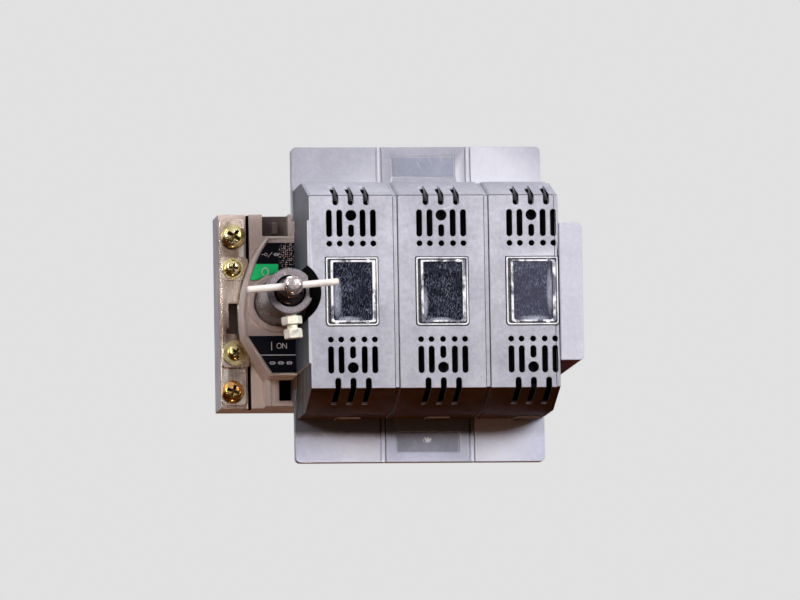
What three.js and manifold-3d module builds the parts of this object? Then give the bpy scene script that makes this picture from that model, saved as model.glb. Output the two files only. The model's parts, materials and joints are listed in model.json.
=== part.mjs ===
// Fused disconnect switch, three poles, side-operated, for mounting on a flat plate.
// Millimetres, +Z up, the front faces -Y. The origin is on the rear mounting face,
// behind the middle pole at mid height. Depths are given as Y, from 0 at the plate.
import * as THREE from 'three';
import { mergeVertices } from 'three/addons/utils/BufferGeometryUtils.js';
import Module from 'manifold-3d';

const wasm = await Module();
wasm.setup();

// ---------------------------------------------------------------- driving dimensions
const GAP = 0.3;                      // clearance between separate pieces
const POLE_PITCH = 44.3;
const POLES = [-POLE_PITCH, 0, POLE_PITCH];

const SEAMS = { left: -21.4, right: 22.8 };     // planes between the three poles
const RIGHT_EDGE = 57.7;              // right side of the third pole
const BODY_LEFT = -59;                // left side of the first pole's body

const FRONT = -116;                   // fuse shroud front
const SHROUD_REAR = -52;
const SHROUD_LEFT = -64.9;
const SHROUD_FRONT_Z = 47.4;          // half height of the shroud front
const SHROUD_Z = 56.8;                // half height behind the slope
const SLOPE_END = -86;                // depth where the slope ends
const SHROUD_WALL = 1.8;

const COVER_FRONT = -51;              // terminal cover front
const COVER_LEFT = -65.9;
const COVER_Z = 78;
const BODY_Z = 72;
const BODY_FRONT = -48.6;

const END_X = 69.8;                   // right side of the end housing
const END_Z = 33.9;
const END_FRONT = -112.8;

const MECH_LEFT = -100;
const MECH_Z = 47.6;                  // top of the mechanism base
const MECH_LOW = -49;                 // bottom of the mechanism base
const MECH_FRONT = -25;               // front of the mechanism base
const LABEL_Y = -58;                  // front of the raised mechanism cover
const LABEL_RIGHT = -65.3;

const SHAFT_X = -75.2;                // operating shaft axis, along Y at z = 0
const SHAFT_R = 6.9;
const SHAFT_TILT = THREE.MathUtils.degToRad(5);   // play of the handle pin at rest
const COLLAR_FRONT = -121;
const COLLAR_R = 11.4;
const SLEEVE_R = 10.7;
const PIN_Y = -134;
const PIN_R = 1.7;
const PIN_HALF = 22.4;
const PIN_RISE = 1.2;                 // the neck and its pin sit this far above the shaft axis
const NECK = { r: 4.7, tip: -139.6, round: 2.4 };
const SHOULDER_DOME = 2.6;            // the low dome in front of the coupling ring
const JOURNAL_R = 3;
const CHANNEL_R = 15.8;               // hollow in the first shroud that clears the collar

const ROTOR_Y = -25;                  // switching rotor axis, along X at z = 0
const ROTOR_R = 8;
const BLADE_HALF = 16;                // reach of a moving contact from the rotor axis
const BLADE_W = 8;
const BLADE_T = 1.5;
const TONGUE_T = 2;                   // fixed contacts and fuse tags
const FUSE_Y = -90;
const FUSE_R = 11;
const FUSE_BODY_Z = 23;
const TAG_Z = 36;
const TIE_ROD = { y: -14, z: 26, r: 2 };

// ---------------------------------------------------------------- finishes
const finish = (color, roughness, metalness = 0) => () =>
  new THREE.MeshStandardMaterial({ color, roughness, metalness });
const greyPlastic = finish(0xa6a7b2, 0.5);
const bodyPlastic = finish(0x8d8e99, 0.6);
const beigePlastic = finish(0x9d8b80, 0.5);
const labelFilm = finish(0x17191f, 0.4);
const clearPlastic = finish(0x1b1f2e, 0.12);
const zincSteel = finish(0xb3a697, 0.35, 0.9);
const yellowZinc = finish(0xb79a4c, 0.35, 0.9);
const steel = finish(0xb8b4b0, 0.25, 1);
const castSteel = finish(0x7d7877, 0.5, 0.8);
const copper = finish(0xb8835a, 0.35, 1);
const ceramic = finish(0xe4e0d6, 0.35);
const rotorPlastic = finish(0x26262a, 0.55);

// ---------------------------------------------------------------- solids
const AXES = {
  x: new THREE.Vector3(1, 0, 0),
  y: new THREE.Vector3(0, 1, 0),
  z: new THREE.Vector3(0, 0, 1),
};

function solid(geometry) {
  geometry.deleteAttribute('normal');
  geometry.deleteAttribute('uv');
  const merged = mergeVertices(geometry, 1e-4);
  const vertProperties = new Float32Array(merged.attributes.position.array);
  const triVerts = new Uint32Array(merged.index.array);
  return new wasm.Manifold(new wasm.Mesh({ numProp: 3, vertProperties, triVerts }));
}

function block(x0, x1, y0, y1, z0, z1) {
  const geometry = new THREE.BoxGeometry(Math.abs(x1 - x0), Math.abs(y1 - y0), Math.abs(z1 - z0));
  geometry.translate((x0 + x1) / 2, (y0 + y1) / 2, (z0 + z1) / 2);
  return solid(geometry);
}

// A round bar along an axis, through the point at.
function bar(axis, radius, from, to, at = {}, segments = 16, radiusTo = radius) {
  const geometry = new THREE.CylinderGeometry(radiusTo, radius, Math.abs(to - from), segments);
  const turn = new THREE.Quaternion().setFromUnitVectors(AXES.y, AXES[axis]);
  geometry.applyQuaternion(turn);
  const centre = { x: 0, y: 0, z: 0, ...at };
  centre[axis] = (from + to) / 2;
  geometry.translate(centre.x, centre.y, centre.z);
  return solid(geometry);
}

// An outline drawn in X and Z, front face at y = front, reaching back to y = rear.
function facePrism(shape, front, rear, curveSegments = 6) {
  const depth = rear - front;
  const geometry = new THREE.ExtrudeGeometry(shape, { depth, bevelEnabled: false, curveSegments });
  geometry.rotateX(Math.PI / 2);
  geometry.translate(0, rear, 0);
  return solid(geometry);
}

// An outline drawn in Y and Z, reaching from x = left to x = right.
function sidePrism(points, left, right) {
  const shape = new THREE.Shape(points.map(([y, z]) => new THREE.Vector2(y, z)));
  const depth = right - left;
  const geometry = new THREE.ExtrudeGeometry(shape, { depth, bevelEnabled: false });
  geometry.applyMatrix4(new THREE.Matrix4().makeBasis(AXES.y, AXES.z, AXES.x));
  geometry.translate(left, 0, 0);
  return solid(geometry);
}

// A body of revolution along Y: the profile is a list of [radius, y].
function turned(profile, x, z, segments = 16) {
  const points = profile.map(([r, y]) => new THREE.Vector2(r, y));
  const geometry = new THREE.LatheGeometry(points, segments);
  geometry.translate(x, 0, z);
  return solid(geometry);
}

function slotShape(x, zLow, zHigh, width) {
  const r = width / 2;
  const shape = new THREE.Shape();
  shape.absarc(x, zHigh - r, r, 0, Math.PI, false);
  shape.absarc(x, zLow + r, r, Math.PI, 2 * Math.PI, false);
  return shape;
}

function roundedRect(x0, x1, z0, z1, r) {
  const shape = new THREE.Shape();
  shape.absarc(x1 - r, z1 - r, r, 0, Math.PI / 2, false);
  shape.absarc(x0 + r, z1 - r, r, Math.PI / 2, Math.PI, false);
  shape.absarc(x0 + r, z0 + r, r, Math.PI, 1.5 * Math.PI, false);
  shape.absarc(x1 - r, z0 + r, r, 1.5 * Math.PI, 2 * Math.PI, false);
  return shape;
}

const join = (first, ...others) => others.reduce((sum, other) => sum.add(other), first);
const cut = (first, ...others) => others.reduce((rest, other) => rest.subtract(other), first);

const model = new THREE.Group();

function place(name, shape, material, parent = model) {
  const { vertProperties, triVerts } = shape.getMesh();
  const geometry = new THREE.BufferGeometry();
  geometry.setAttribute('position', new THREE.BufferAttribute(new Float32Array(vertProperties), 3));
  geometry.setIndex(new THREE.BufferAttribute(new Uint32Array(triVerts), 1));
  geometry.computeVertexNormals();
  const mesh = new THREE.Mesh(geometry, material());
  mesh.name = name;
  parent.add(mesh);
  return mesh;
}

// ---------------------------------------------------------------- fasteners
// A pan head screw with a cross recess, head outwards towards -Y.
function panScrew(x, z, seatY, headR, headH, shankR, shankLength, segments = 14) {
  const top = seatY - headH;
  const profile = [
    [0, top],
    [headR * 0.45, top],
    [headR * 0.85, top + headH * 0.25],
    [headR, top + headH * 0.65],
    [headR, seatY],
    [shankR, seatY],
    [shankR, seatY + shankLength],
    [0, seatY + shankLength],
  ];
  const arm = headR * 0.52;
  const half = headR * 0.09;
  const floor = top + headH * 0.5;
  return cut(
    turned(profile, x, z, segments),
    block(x - arm, x + arm, top - 1, floor, z - half, z + half),
    block(x - half, x + half, top - 1, floor, z - arm, z + arm),
  );
}

function washer(x, z, seatY, outerR, innerR, thickness) {
  return cut(
    bar('y', outerR, seatY - thickness, seatY, { x, z }, 16),
    bar('y', innerR, seatY - thickness - 1, seatY + 1, { x, z }, 8),
  );
}

const HEX_R = 8 / Math.sqrt(3);        // corner radius of a hexagon 8 mm across flats

// ---------------------------------------------------------------- pole bodies
// Left and right sides of the three pieces in a row that start at the given left side.
function edgesFrom(left, secondSeam = SEAMS.right) {
  return [
    [left, SEAMS.left - GAP / 2],
    [SEAMS.left + GAP / 2, secondSeam - GAP / 2],
    [secondSeam + GAP / 2, RIGHT_EDGE],
  ];
}

const BODY_WALL = 2;
const FLOOR = 3;
const DECK_Z = 46;                    // half height of the contact deck
const DECK_T = 3;
const TERMINAL_Z = 64;                // terminal screw height
const TERMINAL_Y = -13;               // front of the terminal strap
const STRAP_T = 1.5;
const STRAP_W = 12;
const LEG_Z = 32;                     // height of the fuse clip legs
const CABLE_WAY = { halfW: 7, rear: -12 };
const PAD = { half: 6, halfZ: 5.5, holeR: 3.1 };
const MOUNT_HOLE = { x: 9.2, z: 60, r: 2.75 };
const SIDES = [1, -1];                // top and bottom, or right and left

function terminalPad(pole, s) {
  const z = s * TERMINAL_Z;
  const front = TERMINAL_Y + STRAP_T + GAP;
  return cut(
    block(pole - PAD.half, pole + PAD.half, front, -FLOOR + 1, z - PAD.halfZ, z + PAD.halfZ),
    bar('y', PAD.holeR, TERMINAL_Y, -FLOOR - 0.5, { x: pole, z }, 8),
  );
}

function poleBody(pole, [left, right]) {
  const shell = block(left, right, BODY_FRONT, 0, -BODY_Z, BODY_Z);
  const inL = left + BODY_WALL;
  const inR = right - BODY_WALL;
  const inZ = BODY_Z - BODY_WALL;
  const ahead = BODY_FRONT - 1;
  const ways = [
    block(inL, inR, BODY_FRONT + DECK_T, -FLOOR, -inZ, inZ),
    bar('x', ROTOR_R + 0.4, left - 1, right + 1, { y: ROTOR_Y }),
  ];
  for (const s of SIDES) {
    const { halfW, rear } = CABLE_WAY;
    const leg = s * LEG_Z;
    const mount = { x: pole + MOUNT_HOLE.x, z: s * MOUNT_HOLE.z };
    ways.push(
      block(inL, inR, ahead, -FLOOR, s * DECK_Z, s * inZ),
      block(pole - halfW, pole + halfW, ahead, rear, s * (inZ - 1), s * (BODY_Z + 1)),
      block(pole - 2, pole + 2, ahead, -FLOOR - 10, leg - 3, leg + 3),
      bar('x', TIE_ROD.r + GAP, left - 1, right + 1, { y: TIE_ROD.y, z: s * TIE_ROD.z }, 8),
      bar('y', MOUNT_HOLE.r, -FLOOR - 1, 1, mount, 8),
    );
  }
  return join(cut(shell, ...ways), ...SIDES.map((s) => terminalPad(pole, s)));
}

const bodyEdges = edgesFrom(BODY_LEFT);
POLES.forEach((pole, i) => {
  place(`pole_body_${i + 1}`, poleBody(pole, bodyEdges[i]), bodyPlastic);
});

// ---------------------------------------------------------------- current path
const TONGUE_Z = [10, 20];            // fixed contact tongues, from the rotor axis
const CLIP_Y = { front: -97, rear: -83 };

// A terminal strap with its screw hole, at the top (sign 1) or bottom (sign -1).
function terminalStrap(pole, sign) {
  const z = sign * TERMINAL_Z;
  const rear = TERMINAL_Y + STRAP_T;
  const half = STRAP_W / 2;
  return cut(
    block(pole - half, pole + half, TERMINAL_Y, rear, z - sign * 9, z + sign * 5),
    bar('y', 3.2, TERMINAL_Y - 1, rear + 1, { x: pole, z }, 8),
  );
}

function tongue(pole, sign) {
  const [low, high] = TONGUE_Z;
  return block(pole - TONGUE_T / 2, pole + TONGUE_T / 2,
    ROTOR_Y - 3, ROTOR_Y + 3, sign * low, sign * high);
}

// The incoming contact runs from the top terminal behind the rotor to the lower tongue.
function lineContact(pole) {
  const backY = -4.7;
  const stepZ = TERMINAL_Z - 9;
  const lowZ = -TONGUE_Z[1];
  const x0 = pole - STRAP_W / 2;
  const x1 = pole + STRAP_W / 2;
  return join(
    terminalStrap(pole, 1),
    block(x0, x1, TERMINAL_Y, backY, stepZ - 2, stepZ),
    block(x0, x1, backY - STRAP_T, backY, lowZ, stepZ - 0.5),
    block(pole - TONGUE_T / 2, pole + TONGUE_T / 2, ROTOR_Y + 2, backY - 0.5, lowZ, lowZ + 3),
    tongue(pole, -1),
  );
}

// Two cheeks on either side of a fuse tag, with the leg that reaches back into the body.
function clipJaw(pole, sign, legRear) {
  const cheekX = TONGUE_T / 2 + GAP;
  const zIn = sign * (FUSE_BODY_Z + 3);
  const zOut = sign * (TAG_Z - 0.5);
  const cheeks = SIDES.map((s) => block(pole + s * cheekX, pole + s * (cheekX + 1.5),
    CLIP_Y.front, CLIP_Y.rear + 3, zIn, zOut));
  const web = block(pole - cheekX - 1.5, pole + cheekX + 1.5, CLIP_Y.rear, CLIP_Y.rear + 3, zIn, zOut);
  const leg = block(pole - TONGUE_T / 2, pole + TONGUE_T / 2,
    CLIP_Y.rear + 2, legRear, sign * (LEG_Z - 2), sign * (LEG_Z + 2));
  return join(...cheeks, web, leg);
}

function fuseClipTop(pole) {
  const riser = block(pole - TONGUE_T / 2, pole + TONGUE_T / 2,
    ROTOR_Y - 3, ROTOR_Y + 3, TONGUE_Z[1] - 1, LEG_Z + 2);
  return join(clipJaw(pole, 1, ROTOR_Y + 3), riser, tongue(pole, 1));
}

function fuseClipBottom(pole) {
  const run = block(pole - STRAP_W / 2, pole + STRAP_W / 2,
    TERMINAL_Y, TERMINAL_Y + STRAP_T, -LEG_Z - 2, -TERMINAL_Z + 8);
  return join(clipJaw(pole, -1, TERMINAL_Y + STRAP_T), run, terminalStrap(pole, -1));
}

function fuseLink(pole) {
  const x = pole;
  const y = FUSE_Y;
  const body = bar('z', FUSE_R - 0.8, -FUSE_BODY_Z, FUSE_BODY_Z, { x, y }, 14);
  const caps = SIDES.map((s) =>
    bar('z', FUSE_R, s * (FUSE_BODY_Z - 4), s * FUSE_BODY_Z, { x, y }, 14));
  const tags = block(x - TONGUE_T / 2, x + TONGUE_T / 2, y - 6, y + 6, -TAG_Z, TAG_Z);
  return join(body, ...caps, tags);
}

POLES.forEach((pole, i) => {
  const n = i + 1;
  place(`line_contact_${n}`, lineContact(pole), copper);
  place(`fuse_clip_top_${n}`, fuseClipTop(pole), copper);
  place(`fuse_clip_bottom_${n}`, fuseClipBottom(pole), copper);
  place(`fuse_link_${n}`, fuseLink(pole), ceramic);
  const seat = TERMINAL_Y - GAP;
  place(`terminal_screw_top_${n}`, panScrew(pole, TERMINAL_Z, seat, 5.5, 3.4, 2.8, 8, 8), steel);
  place(`terminal_screw_bottom_${n}`, panScrew(pole, -TERMINAL_Z, seat, 5.5, 3.4, 2.8, 8, 8), steel);
});

// ---------------------------------------------------------------- terminal covers
const LABEL_PANEL = { x0: -16, x1: 15.2, z0: 63.2, z1: 73.4, sink: 0.6 };
const COVER_INNER_Z = 42;             // the covers reach in under the shrouds
const COVER_REAR = -44;
const COVER_R = 2.4;                  // round outer corners
const SKIRT_T = 1.6;                  // side skirt of the first covers
const SIDE_T = 0.8;

function coverOutlineFor([left, right], n) {
  const r = COVER_R;
  const outline = new THREE.Shape();
  outline.moveTo(left, COVER_INNER_Z);
  outline.lineTo(right, COVER_INNER_Z);
  if (n === 3) outline.absarc(right - r, COVER_Z - r, r, 0, Math.PI / 2, false);
  else outline.lineTo(right, COVER_Z);
  if (n === 1) outline.absarc(left + r, COVER_Z - r, r, Math.PI / 2, Math.PI, false);
  else outline.lineTo(left, COVER_Z);
  return outline;
}

// The cover of one terminal at the top. The first has a side skirt, the second a sunk label panel.
function terminalCover(edges, n) {
  const [left, right] = edges;
  const inner = COVER_INNER_Z - 1;
  const rear = COVER_REAR + 1;
  const wallLeft = n === 1 ? SKIRT_T : SIDE_T;
  const roomLeft = n === 1 ? left + SKIRT_T : left - 1;
  const parts = [
    facePrism(coverOutlineFor(edges, n), COVER_FRONT, COVER_REAR),
    block(left + wallLeft, right - SIDE_T, COVER_FRONT + 2, rear, inner, COVER_Z - 1.6),
    block(roomLeft, right + 1, BODY_FRONT - GAP, rear, inner, BODY_Z + 1),
  ];
  if (n === 2) {
    const { x0, x1, z0, z1, sink } = LABEL_PANEL;
    parts.push(block(x0, x1, COVER_FRONT - 1, COVER_FRONT + sink, z0, z1));
  }
  return cut(...parts);
}

edgesFrom(COVER_LEFT).forEach((edges, i) => {
  const n = i + 1;
  place(`terminal_cover_top_${n}`, terminalCover(edges, n), greyPlastic);
  place(`terminal_cover_bottom_${n}`, terminalCover(edges, n).mirror([0, 0, 1]), greyPlastic);
});

// ---------------------------------------------------------------- fuse shrouds
const shroudEdges = edgesFrom(SHROUD_LEFT, SEAMS.right + 0.5);
const WINDOW = { w: 25.3, h: 33.2 };
const VENT = {
  w: 2.8,
  columns: [-10.8, -5.7, 5.7, 10.8],
  longZ: [26.8, 40.1],
  shortZ: [26.8, 32.8],
  bigZ: 37.3,
  bigR: 2.65,
  rowZ: 23.5,
  edgeColumns: [-7.5, 0, 7.5],
};

// Side view of the slots that run from the front face back over the slope, in Y and Z.
const EDGE_SLOT = [
  [FRONT - 2, 42.3],
  [FRONT + 5, 42.3],
  [FRONT + 20.4, 50],
  [FRONT + 20.4, 60],
  [FRONT - 2, 60],
];

// Section of the shroud in Y and Z, drawn in by the wall thickness t.
function shroudSection(t) {
  const front = FRONT + t * 1.2;
  const zf = SHROUD_FRONT_Z - t * 0.75;
  const zr = SHROUD_Z - t;
  const rear = t > 0 ? SHROUD_REAR + 1 : SHROUD_REAR;
  const slope = SLOPE_END + t * 0.3;
  const lower = [[front, -zf], [slope, -zr], [rear, -zr]];
  return [...lower, ...lower.map(([y, z]) => [y, -z]).reverse()];
}

function ventCutters(pole) {
  const cutters = [];
  const through = (shape, segments = 2) => cutters.push(facePrism(shape, FRONT - 1, FRONT + 6, segments));
  const circle = (x, z, r) => {
    const shape = new THREE.Shape();
    shape.absarc(x, z, r, 0, 2 * Math.PI, false);
    return shape;
  };
  for (const sign of SIDES) {
    const span = ([a, b]) => (sign > 0 ? [a, b] : [-b, -a]);
    for (const dx of VENT.columns) {
      through(slotShape(pole + dx, ...span(VENT.longZ), VENT.w));
    }
    through(slotShape(pole, ...span(VENT.shortZ), VENT.w));
    through(circle(pole, sign * VENT.bigZ, VENT.bigR), 5);
    for (const dx of [...VENT.columns, 0]) {
      through(circle(pole + dx, sign * VENT.rowZ, VENT.w / 2), 3);
    }
    const profile = EDGE_SLOT.map(([y, z]) => [y, sign * z]);
    if (sign < 0) profile.reverse();
    for (const dx of VENT.edgeColumns) {
      cutters.push(sidePrism(profile, pole + dx - VENT.w / 2, pole + dx + VENT.w / 2));
    }
  }
  return cutters;
}

function fuseShroud(pole, [left, right], clearsShaft) {
  let shell = sidePrism(shroudSection(0), left, right);
  let hollow = sidePrism(shroudSection(SHROUD_WALL), left + SHROUD_WALL, right - SHROUD_WALL);
  if (clearsShaft) {
    const at = { x: SHAFT_X, z: 0 };
    hollow = cut(hollow, bar('y', CHANNEL_R + 1.6, FRONT - 1, SHROUD_REAR + 2, at, 24));
    shell = cut(shell, bar('y', CHANNEL_R, FRONT - 1, SHROUD_REAR + 2, at, 24));
  }
  const w = WINDOW.w / 2 + GAP;
  const h = WINDOW.h / 2 + GAP;
  const opening = block(pole - w, pole + w, FRONT - 1, FRONT + 4, -h, h);
  return cut(shell, hollow, opening, ...ventCutters(pole));
}

const SIGHT = { proud: 0.8, ledge: 2.6, flange: 0.6, flangeT: 1.5, flangeZ: 2 };

// The window is a clear tray that plugs the opening and bears on the wall from inside.
function sightWindow(pole, [left, right]) {
  const w = WINDOW.w / 2;
  const h = WINDOW.h / 2;
  const rear = FRONT + SHROUD_WALL * 1.2 + GAP;
  const flangeLeft = Math.max(pole - w - SIGHT.flange, left + SHROUD_WALL + GAP);
  const flangeRight = Math.min(pole + w + SIGHT.flange, right - SHROUD_WALL - GAP);
  const inner = w - SIGHT.ledge;
  const innerZ = h - SIGHT.ledge;
  const tall = h + SIGHT.flangeZ;
  return cut(
    join(
      block(pole - w, pole + w, FRONT - SIGHT.proud, rear - GAP, -h, h),
      block(flangeLeft + 0.7, Math.min(flangeRight, pole + w), rear - 0.5, rear + 1, -h, h),
      block(flangeLeft, flangeRight, rear, rear + SIGHT.flangeT, -tall, tall),
    ),
    block(pole - inner, pole + inner, FRONT - 2, FRONT + 1, -innerZ, innerZ),
  );
}

POLES.forEach((pole, i) => {
  const edges = shroudEdges[i];
  place(`fuse_shroud_${i + 1}`, fuseShroud(pole, edges, i === 0), greyPlastic);
  place(`window_${i + 1}`, sightWindow(pole, edges), clearPlastic);
});

// ---------------------------------------------------------------- end housing
const END_WALL = 1.8;
const END_LEFT = RIGHT_EDGE + 0.5;
const END_R = 2.5;

// A boss on the inside of the end wall with a blind bore along X.
function endBoss(outerR, boreR, y, z, boreEnd, segments) {
  const wall = END_X - END_WALL;
  return cut(
    bar('x', outerR, END_LEFT + 2, wall + 0.5, { y, z }, segments),
    bar('x', boreR, END_LEFT - 1, boreEnd, { y, z }, segments),
  );
}

function endHousing() {
  const outline = roundedRect(END_LEFT - 6, END_X, -END_Z, END_Z, END_R);
  const wall = END_X - END_WALL;
  const inZ = END_Z - END_WALL;
  const shell = cut(
    facePrism(outline, END_FRONT, 0),
    block(END_LEFT - 7, END_LEFT, END_FRONT - 1, 1, -END_Z - 1, END_Z + 1),
    block(END_LEFT - 1, wall, END_FRONT + END_WALL, -FLOOR, -inZ, inZ),
  );
  const rodEnds = SIDES.map((s) =>
    endBoss(4, TIE_ROD.r + GAP, TIE_ROD.y, s * TIE_ROD.z, wall - 1, 8));
  return join(shell, endBoss(7, 4.4, ROTOR_Y, 0, wall, 16), ...rodEnds);
}
place('end_housing', endHousing(), greyPlastic);

for (const s of SIDES) {
  const rod = bar('x', TIE_ROD.r, -68, END_X - END_WALL - 2, { y: TIE_ROD.y, z: s * TIE_ROD.z }, 8);
  place(s > 0 ? 'tie_rod_upper' : 'tie_rod_lower', rod, steel);
}

// ---------------------------------------------------------------- mechanism base
const PLATE = { x0: -99.6, x1: -87, z0: -47.4, z1: 45.2, t: 1.2 };
const BRACKET = { x0: -99.2, x1: -85.6, z0: -29, z1: 25.9, t: 1.6 };
const MECH_SCREWS = [
  { x: -92.6, z: 36.2, headR: 6.4, headH: 4.4, onBracket: false },
  { x: -93.3, z: 20.3, headR: 4.2, headH: 3.2, onBracket: true },
  { x: -92.7, z: -21.6, headR: 4.0, headH: 3.2, onBracket: true },
  { x: -94.0, z: -40.7, headR: 5.8, headH: 4.2, onBracket: false },
];
const SCREW_R = 2.4;
const WASHER = { r: 6.3, t: 1 };
const PLATE_FRONT = MECH_FRONT - GAP - PLATE.t;
const BRACKET_FRONT = PLATE_FRONT - GAP - BRACKET.t;
const SLOT = { x0: -95.5, x1: -91.2, z0: -12, z1: 3, footX0: -96.7, footX1: -90.3, footZ: -9.2 };
const SCREW_END = -11;

const screwWays = (rear) => MECH_SCREWS.map((s) =>
  bar('y', SCREW_R + 0.5, BRACKET_FRONT - 1, rear, { x: s.x, z: s.z }, 8));

function mechanismBase() {
  const right = BODY_LEFT - GAP;
  const ahead = MECH_FRONT - 1;
  const above = MECH_Z + 1;
  const groove = block(-86.2, -84.8, ahead, MECH_FRONT + 6, MECH_LOW - 1, above);
  const topRecess = block(-78, -65.2, ahead, MECH_FRONT + 10, 36.8, above);
  const gearPocket = block(-72.6, right + 1, ahead, -15, -9.6, 9.6);
  const slotWell = block(-97.5, -89.5, ahead, MECH_FRONT + 12, -14, 5);
  const journalWay = bar('y', JOURNAL_R + 0.4, ahead, -6, { x: SHAFT_X, z: 0 }, 16);
  const rodWays = SIDES.map((s) =>
    bar('x', TIE_ROD.r + GAP, -68.5, right + 1, { y: TIE_ROD.y, z: s * TIE_ROD.z }, 8));
  const hook = block(-72.6, -70.2, MECH_FRONT + 4, MECH_FRONT + 11, 38, 44);
  const body = cut(
    block(MECH_LEFT, right, MECH_FRONT, 0, MECH_LOW, MECH_Z),
    groove,
    topRecess,
    gearPocket,
    journalWay,
    slotWell,
    ...rodWays,
    ...screwWays(-9),
  );
  return join(body, hook);
}

function sidePlate() {
  const outline = roundedRect(PLATE.x0, PLATE.x1, PLATE.z0, PLATE.z1, 2.5);
  const plate = facePrism(outline, PLATE_FRONT, PLATE_FRONT + PLATE.t, 2);
  const { x0, x1, z0, z1 } = SLOT;
  const slot = block(x0 - 1.5, x1 + 1.5, PLATE_FRONT - 1, MECH_FRONT, z0 - 1, z1 + 1);
  return cut(plate, slot, ...screwWays(MECH_FRONT + 1));
}

function bracketPlate() {
  const outline = roundedRect(BRACKET.x0, BRACKET.x1, BRACKET.z0, BRACKET.z1, 2);
  const plate = facePrism(outline, BRACKET_FRONT, BRACKET_FRONT + BRACKET.t, 2);
  const { x0, x1, z0, z1, footX0, footX1, footZ } = SLOT;
  const slot = block(x0, x1, BRACKET_FRONT - 1, PLATE_FRONT, z0, z1);
  const foot = block(footX0, footX1, BRACKET_FRONT - 1, PLATE_FRONT, z0, footZ);
  return cut(plate, slot, foot, ...screwWays(PLATE_FRONT + 0.1));
}

place('mechanism_base', mechanismBase(), beigePlastic);
place('side_plate', sidePlate(), zincSteel);
place('bracket_plate', bracketPlate(), zincSteel);

MECH_SCREWS.forEach((s, i) => {
  const face = (s.onBracket ? BRACKET_FRONT : PLATE_FRONT) - GAP;
  const seat = s.onBracket ? face - WASHER.t - GAP : face;
  const shank = SCREW_END - seat;
  place(`mech_screw_${i + 1}`, panScrew(s.x, s.z, seat, s.headR, s.headH, SCREW_R, shank), yellowZinc);
  if (s.onBracket) {
    const ring = washer(s.x, s.z, face, WASHER.r, SCREW_R + GAP, WASHER.t);
    place(`mech_washer_${i + 1}`, ring, yellowZinc);
  }
});

// ---------------------------------------------------------------- mechanism cover
const ARC = { x: -25.8, z: -6, r: 66 };          // left edge of the raised cover
const ARC_TOP_Z = 33.2;
const ARC_LOW_Z = -16.2;
const KNEE = { x: -79, z: -35.6 };
const COLUMN_FRONT = -38;
const RECESS = { x: -72.3, z: -46 };  // left and bottom of the opening in the column
const LABEL_INSET = 1.4;
const HOOD_WALL = 2.2;
const BOSS_R = CHANNEL_R - 0.5;       // round part of the cover under the bush
const BUSH = { way: 13, neck: 12.7, flange: 14.2, t: 1.4, depth: 5 };

// Outline of the raised cover, drawn in by t, from the arc to the right edge.
function coverOutline(t, right) {
  const top = ARC_TOP_Z - t;
  const r = ARC.r - t;
  const angle = (z) => Math.PI - Math.asin((z - ARC.z) / r);
  const shape = new THREE.Shape();
  shape.moveTo(right, top);
  shape.absarc(ARC.x, ARC.z, r, angle(top), angle(ARC_LOW_Z + t * 0.4), false);
  shape.lineTo(KNEE.x + t * 0.9, KNEE.z + t);
  shape.lineTo(right, KNEE.z + t);
  return shape;
}

function mechanismCover() {
  const rear = MECH_FRONT - GAP;
  const behind = rear + 1;
  const inFront = LABEL_Y + HOOD_WALL;
  const at = { x: SHAFT_X, z: 0 };
  const column = cut(
    block(KNEE.x, LABEL_RIGHT, COLUMN_FRONT, rear, MECH_LOW, KNEE.z + 0.5),
    block(RECESS.x, LABEL_RIGHT + 1, COLUMN_FRONT - 1, rear - 2, RECESS.z, KNEE.z),
  );
  const outer = join(
    facePrism(coverOutline(0, LABEL_RIGHT), LABEL_Y, rear, 6),
    column,
    bar('y', BOSS_R, LABEL_Y, rear, at, 24),
  );
  const hollow = join(
    facePrism(coverOutline(HOOD_WALL, LABEL_RIGHT - HOOD_WALL), inFront, behind, 4),
    bar('y', BOSS_R - HOOD_WALL, inFront, behind, at, 24),
  );
  return cut(
    outer,
    hollow,
    bar('y', BUSH.way, LABEL_Y - 1, LABEL_Y + 4, at, 24),
    block(-68, BODY_LEFT, -35.5, behind, -9.6, 9.6),
    block(MECH_LEFT, BRACKET.x1 + 0.4, BRACKET_FRONT - 6.6, behind, -30, 27),
  );
}

// The two printed labels, above and below the bush.
const LABELS = { upper: [11.6, 29.8], lower: [-40, -16] };

function mechanismLabel([low, high]) {
  const rear = LABEL_Y - GAP;
  const front = rear - 0.4;
  const sheet = facePrism(coverOutline(LABEL_INSET, LABEL_RIGHT - 0.6), front, rear, 5);
  const below = block(-100, 0, front - 1, rear + 1, -60, low);
  const above = block(-100, 0, front - 1, rear + 1, high, 60);
  const bushRoom = bar('y', BUSH.flange + 0.4, rear - 1, rear + 1, { x: SHAFT_X, z: 0 }, 24);
  return cut(sheet, below, above, bushRoom);
}

function bearingBush() {
  const at = { x: SHAFT_X, z: 0 };
  const rear = LABEL_Y - GAP;
  const end = LABEL_Y + BUSH.depth;
  return cut(
    join(
      bar('y', BUSH.flange, rear - BUSH.t, rear, at, 24),
      bar('y', BUSH.neck, rear - 1, end, at, 24),
    ),
    bar('y', SLEEVE_R + GAP, rear - BUSH.t - 1, end + 1, at, 24),
  );
}

place('mechanism_cover', mechanismCover(), beigePlastic);
place('label_upper', mechanismLabel(LABELS.upper), labelFilm);
place('label_lower', mechanismLabel(LABELS.lower), labelFilm);
place('bearing_bush', bearingBush(), beigePlastic);

// ---------------------------------------------------------------- bevel drive
const GEAR = { inner: 5.5, outer: 8.5, teeth: 9, bore: 3.3, hubR: 5.2 };

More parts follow.
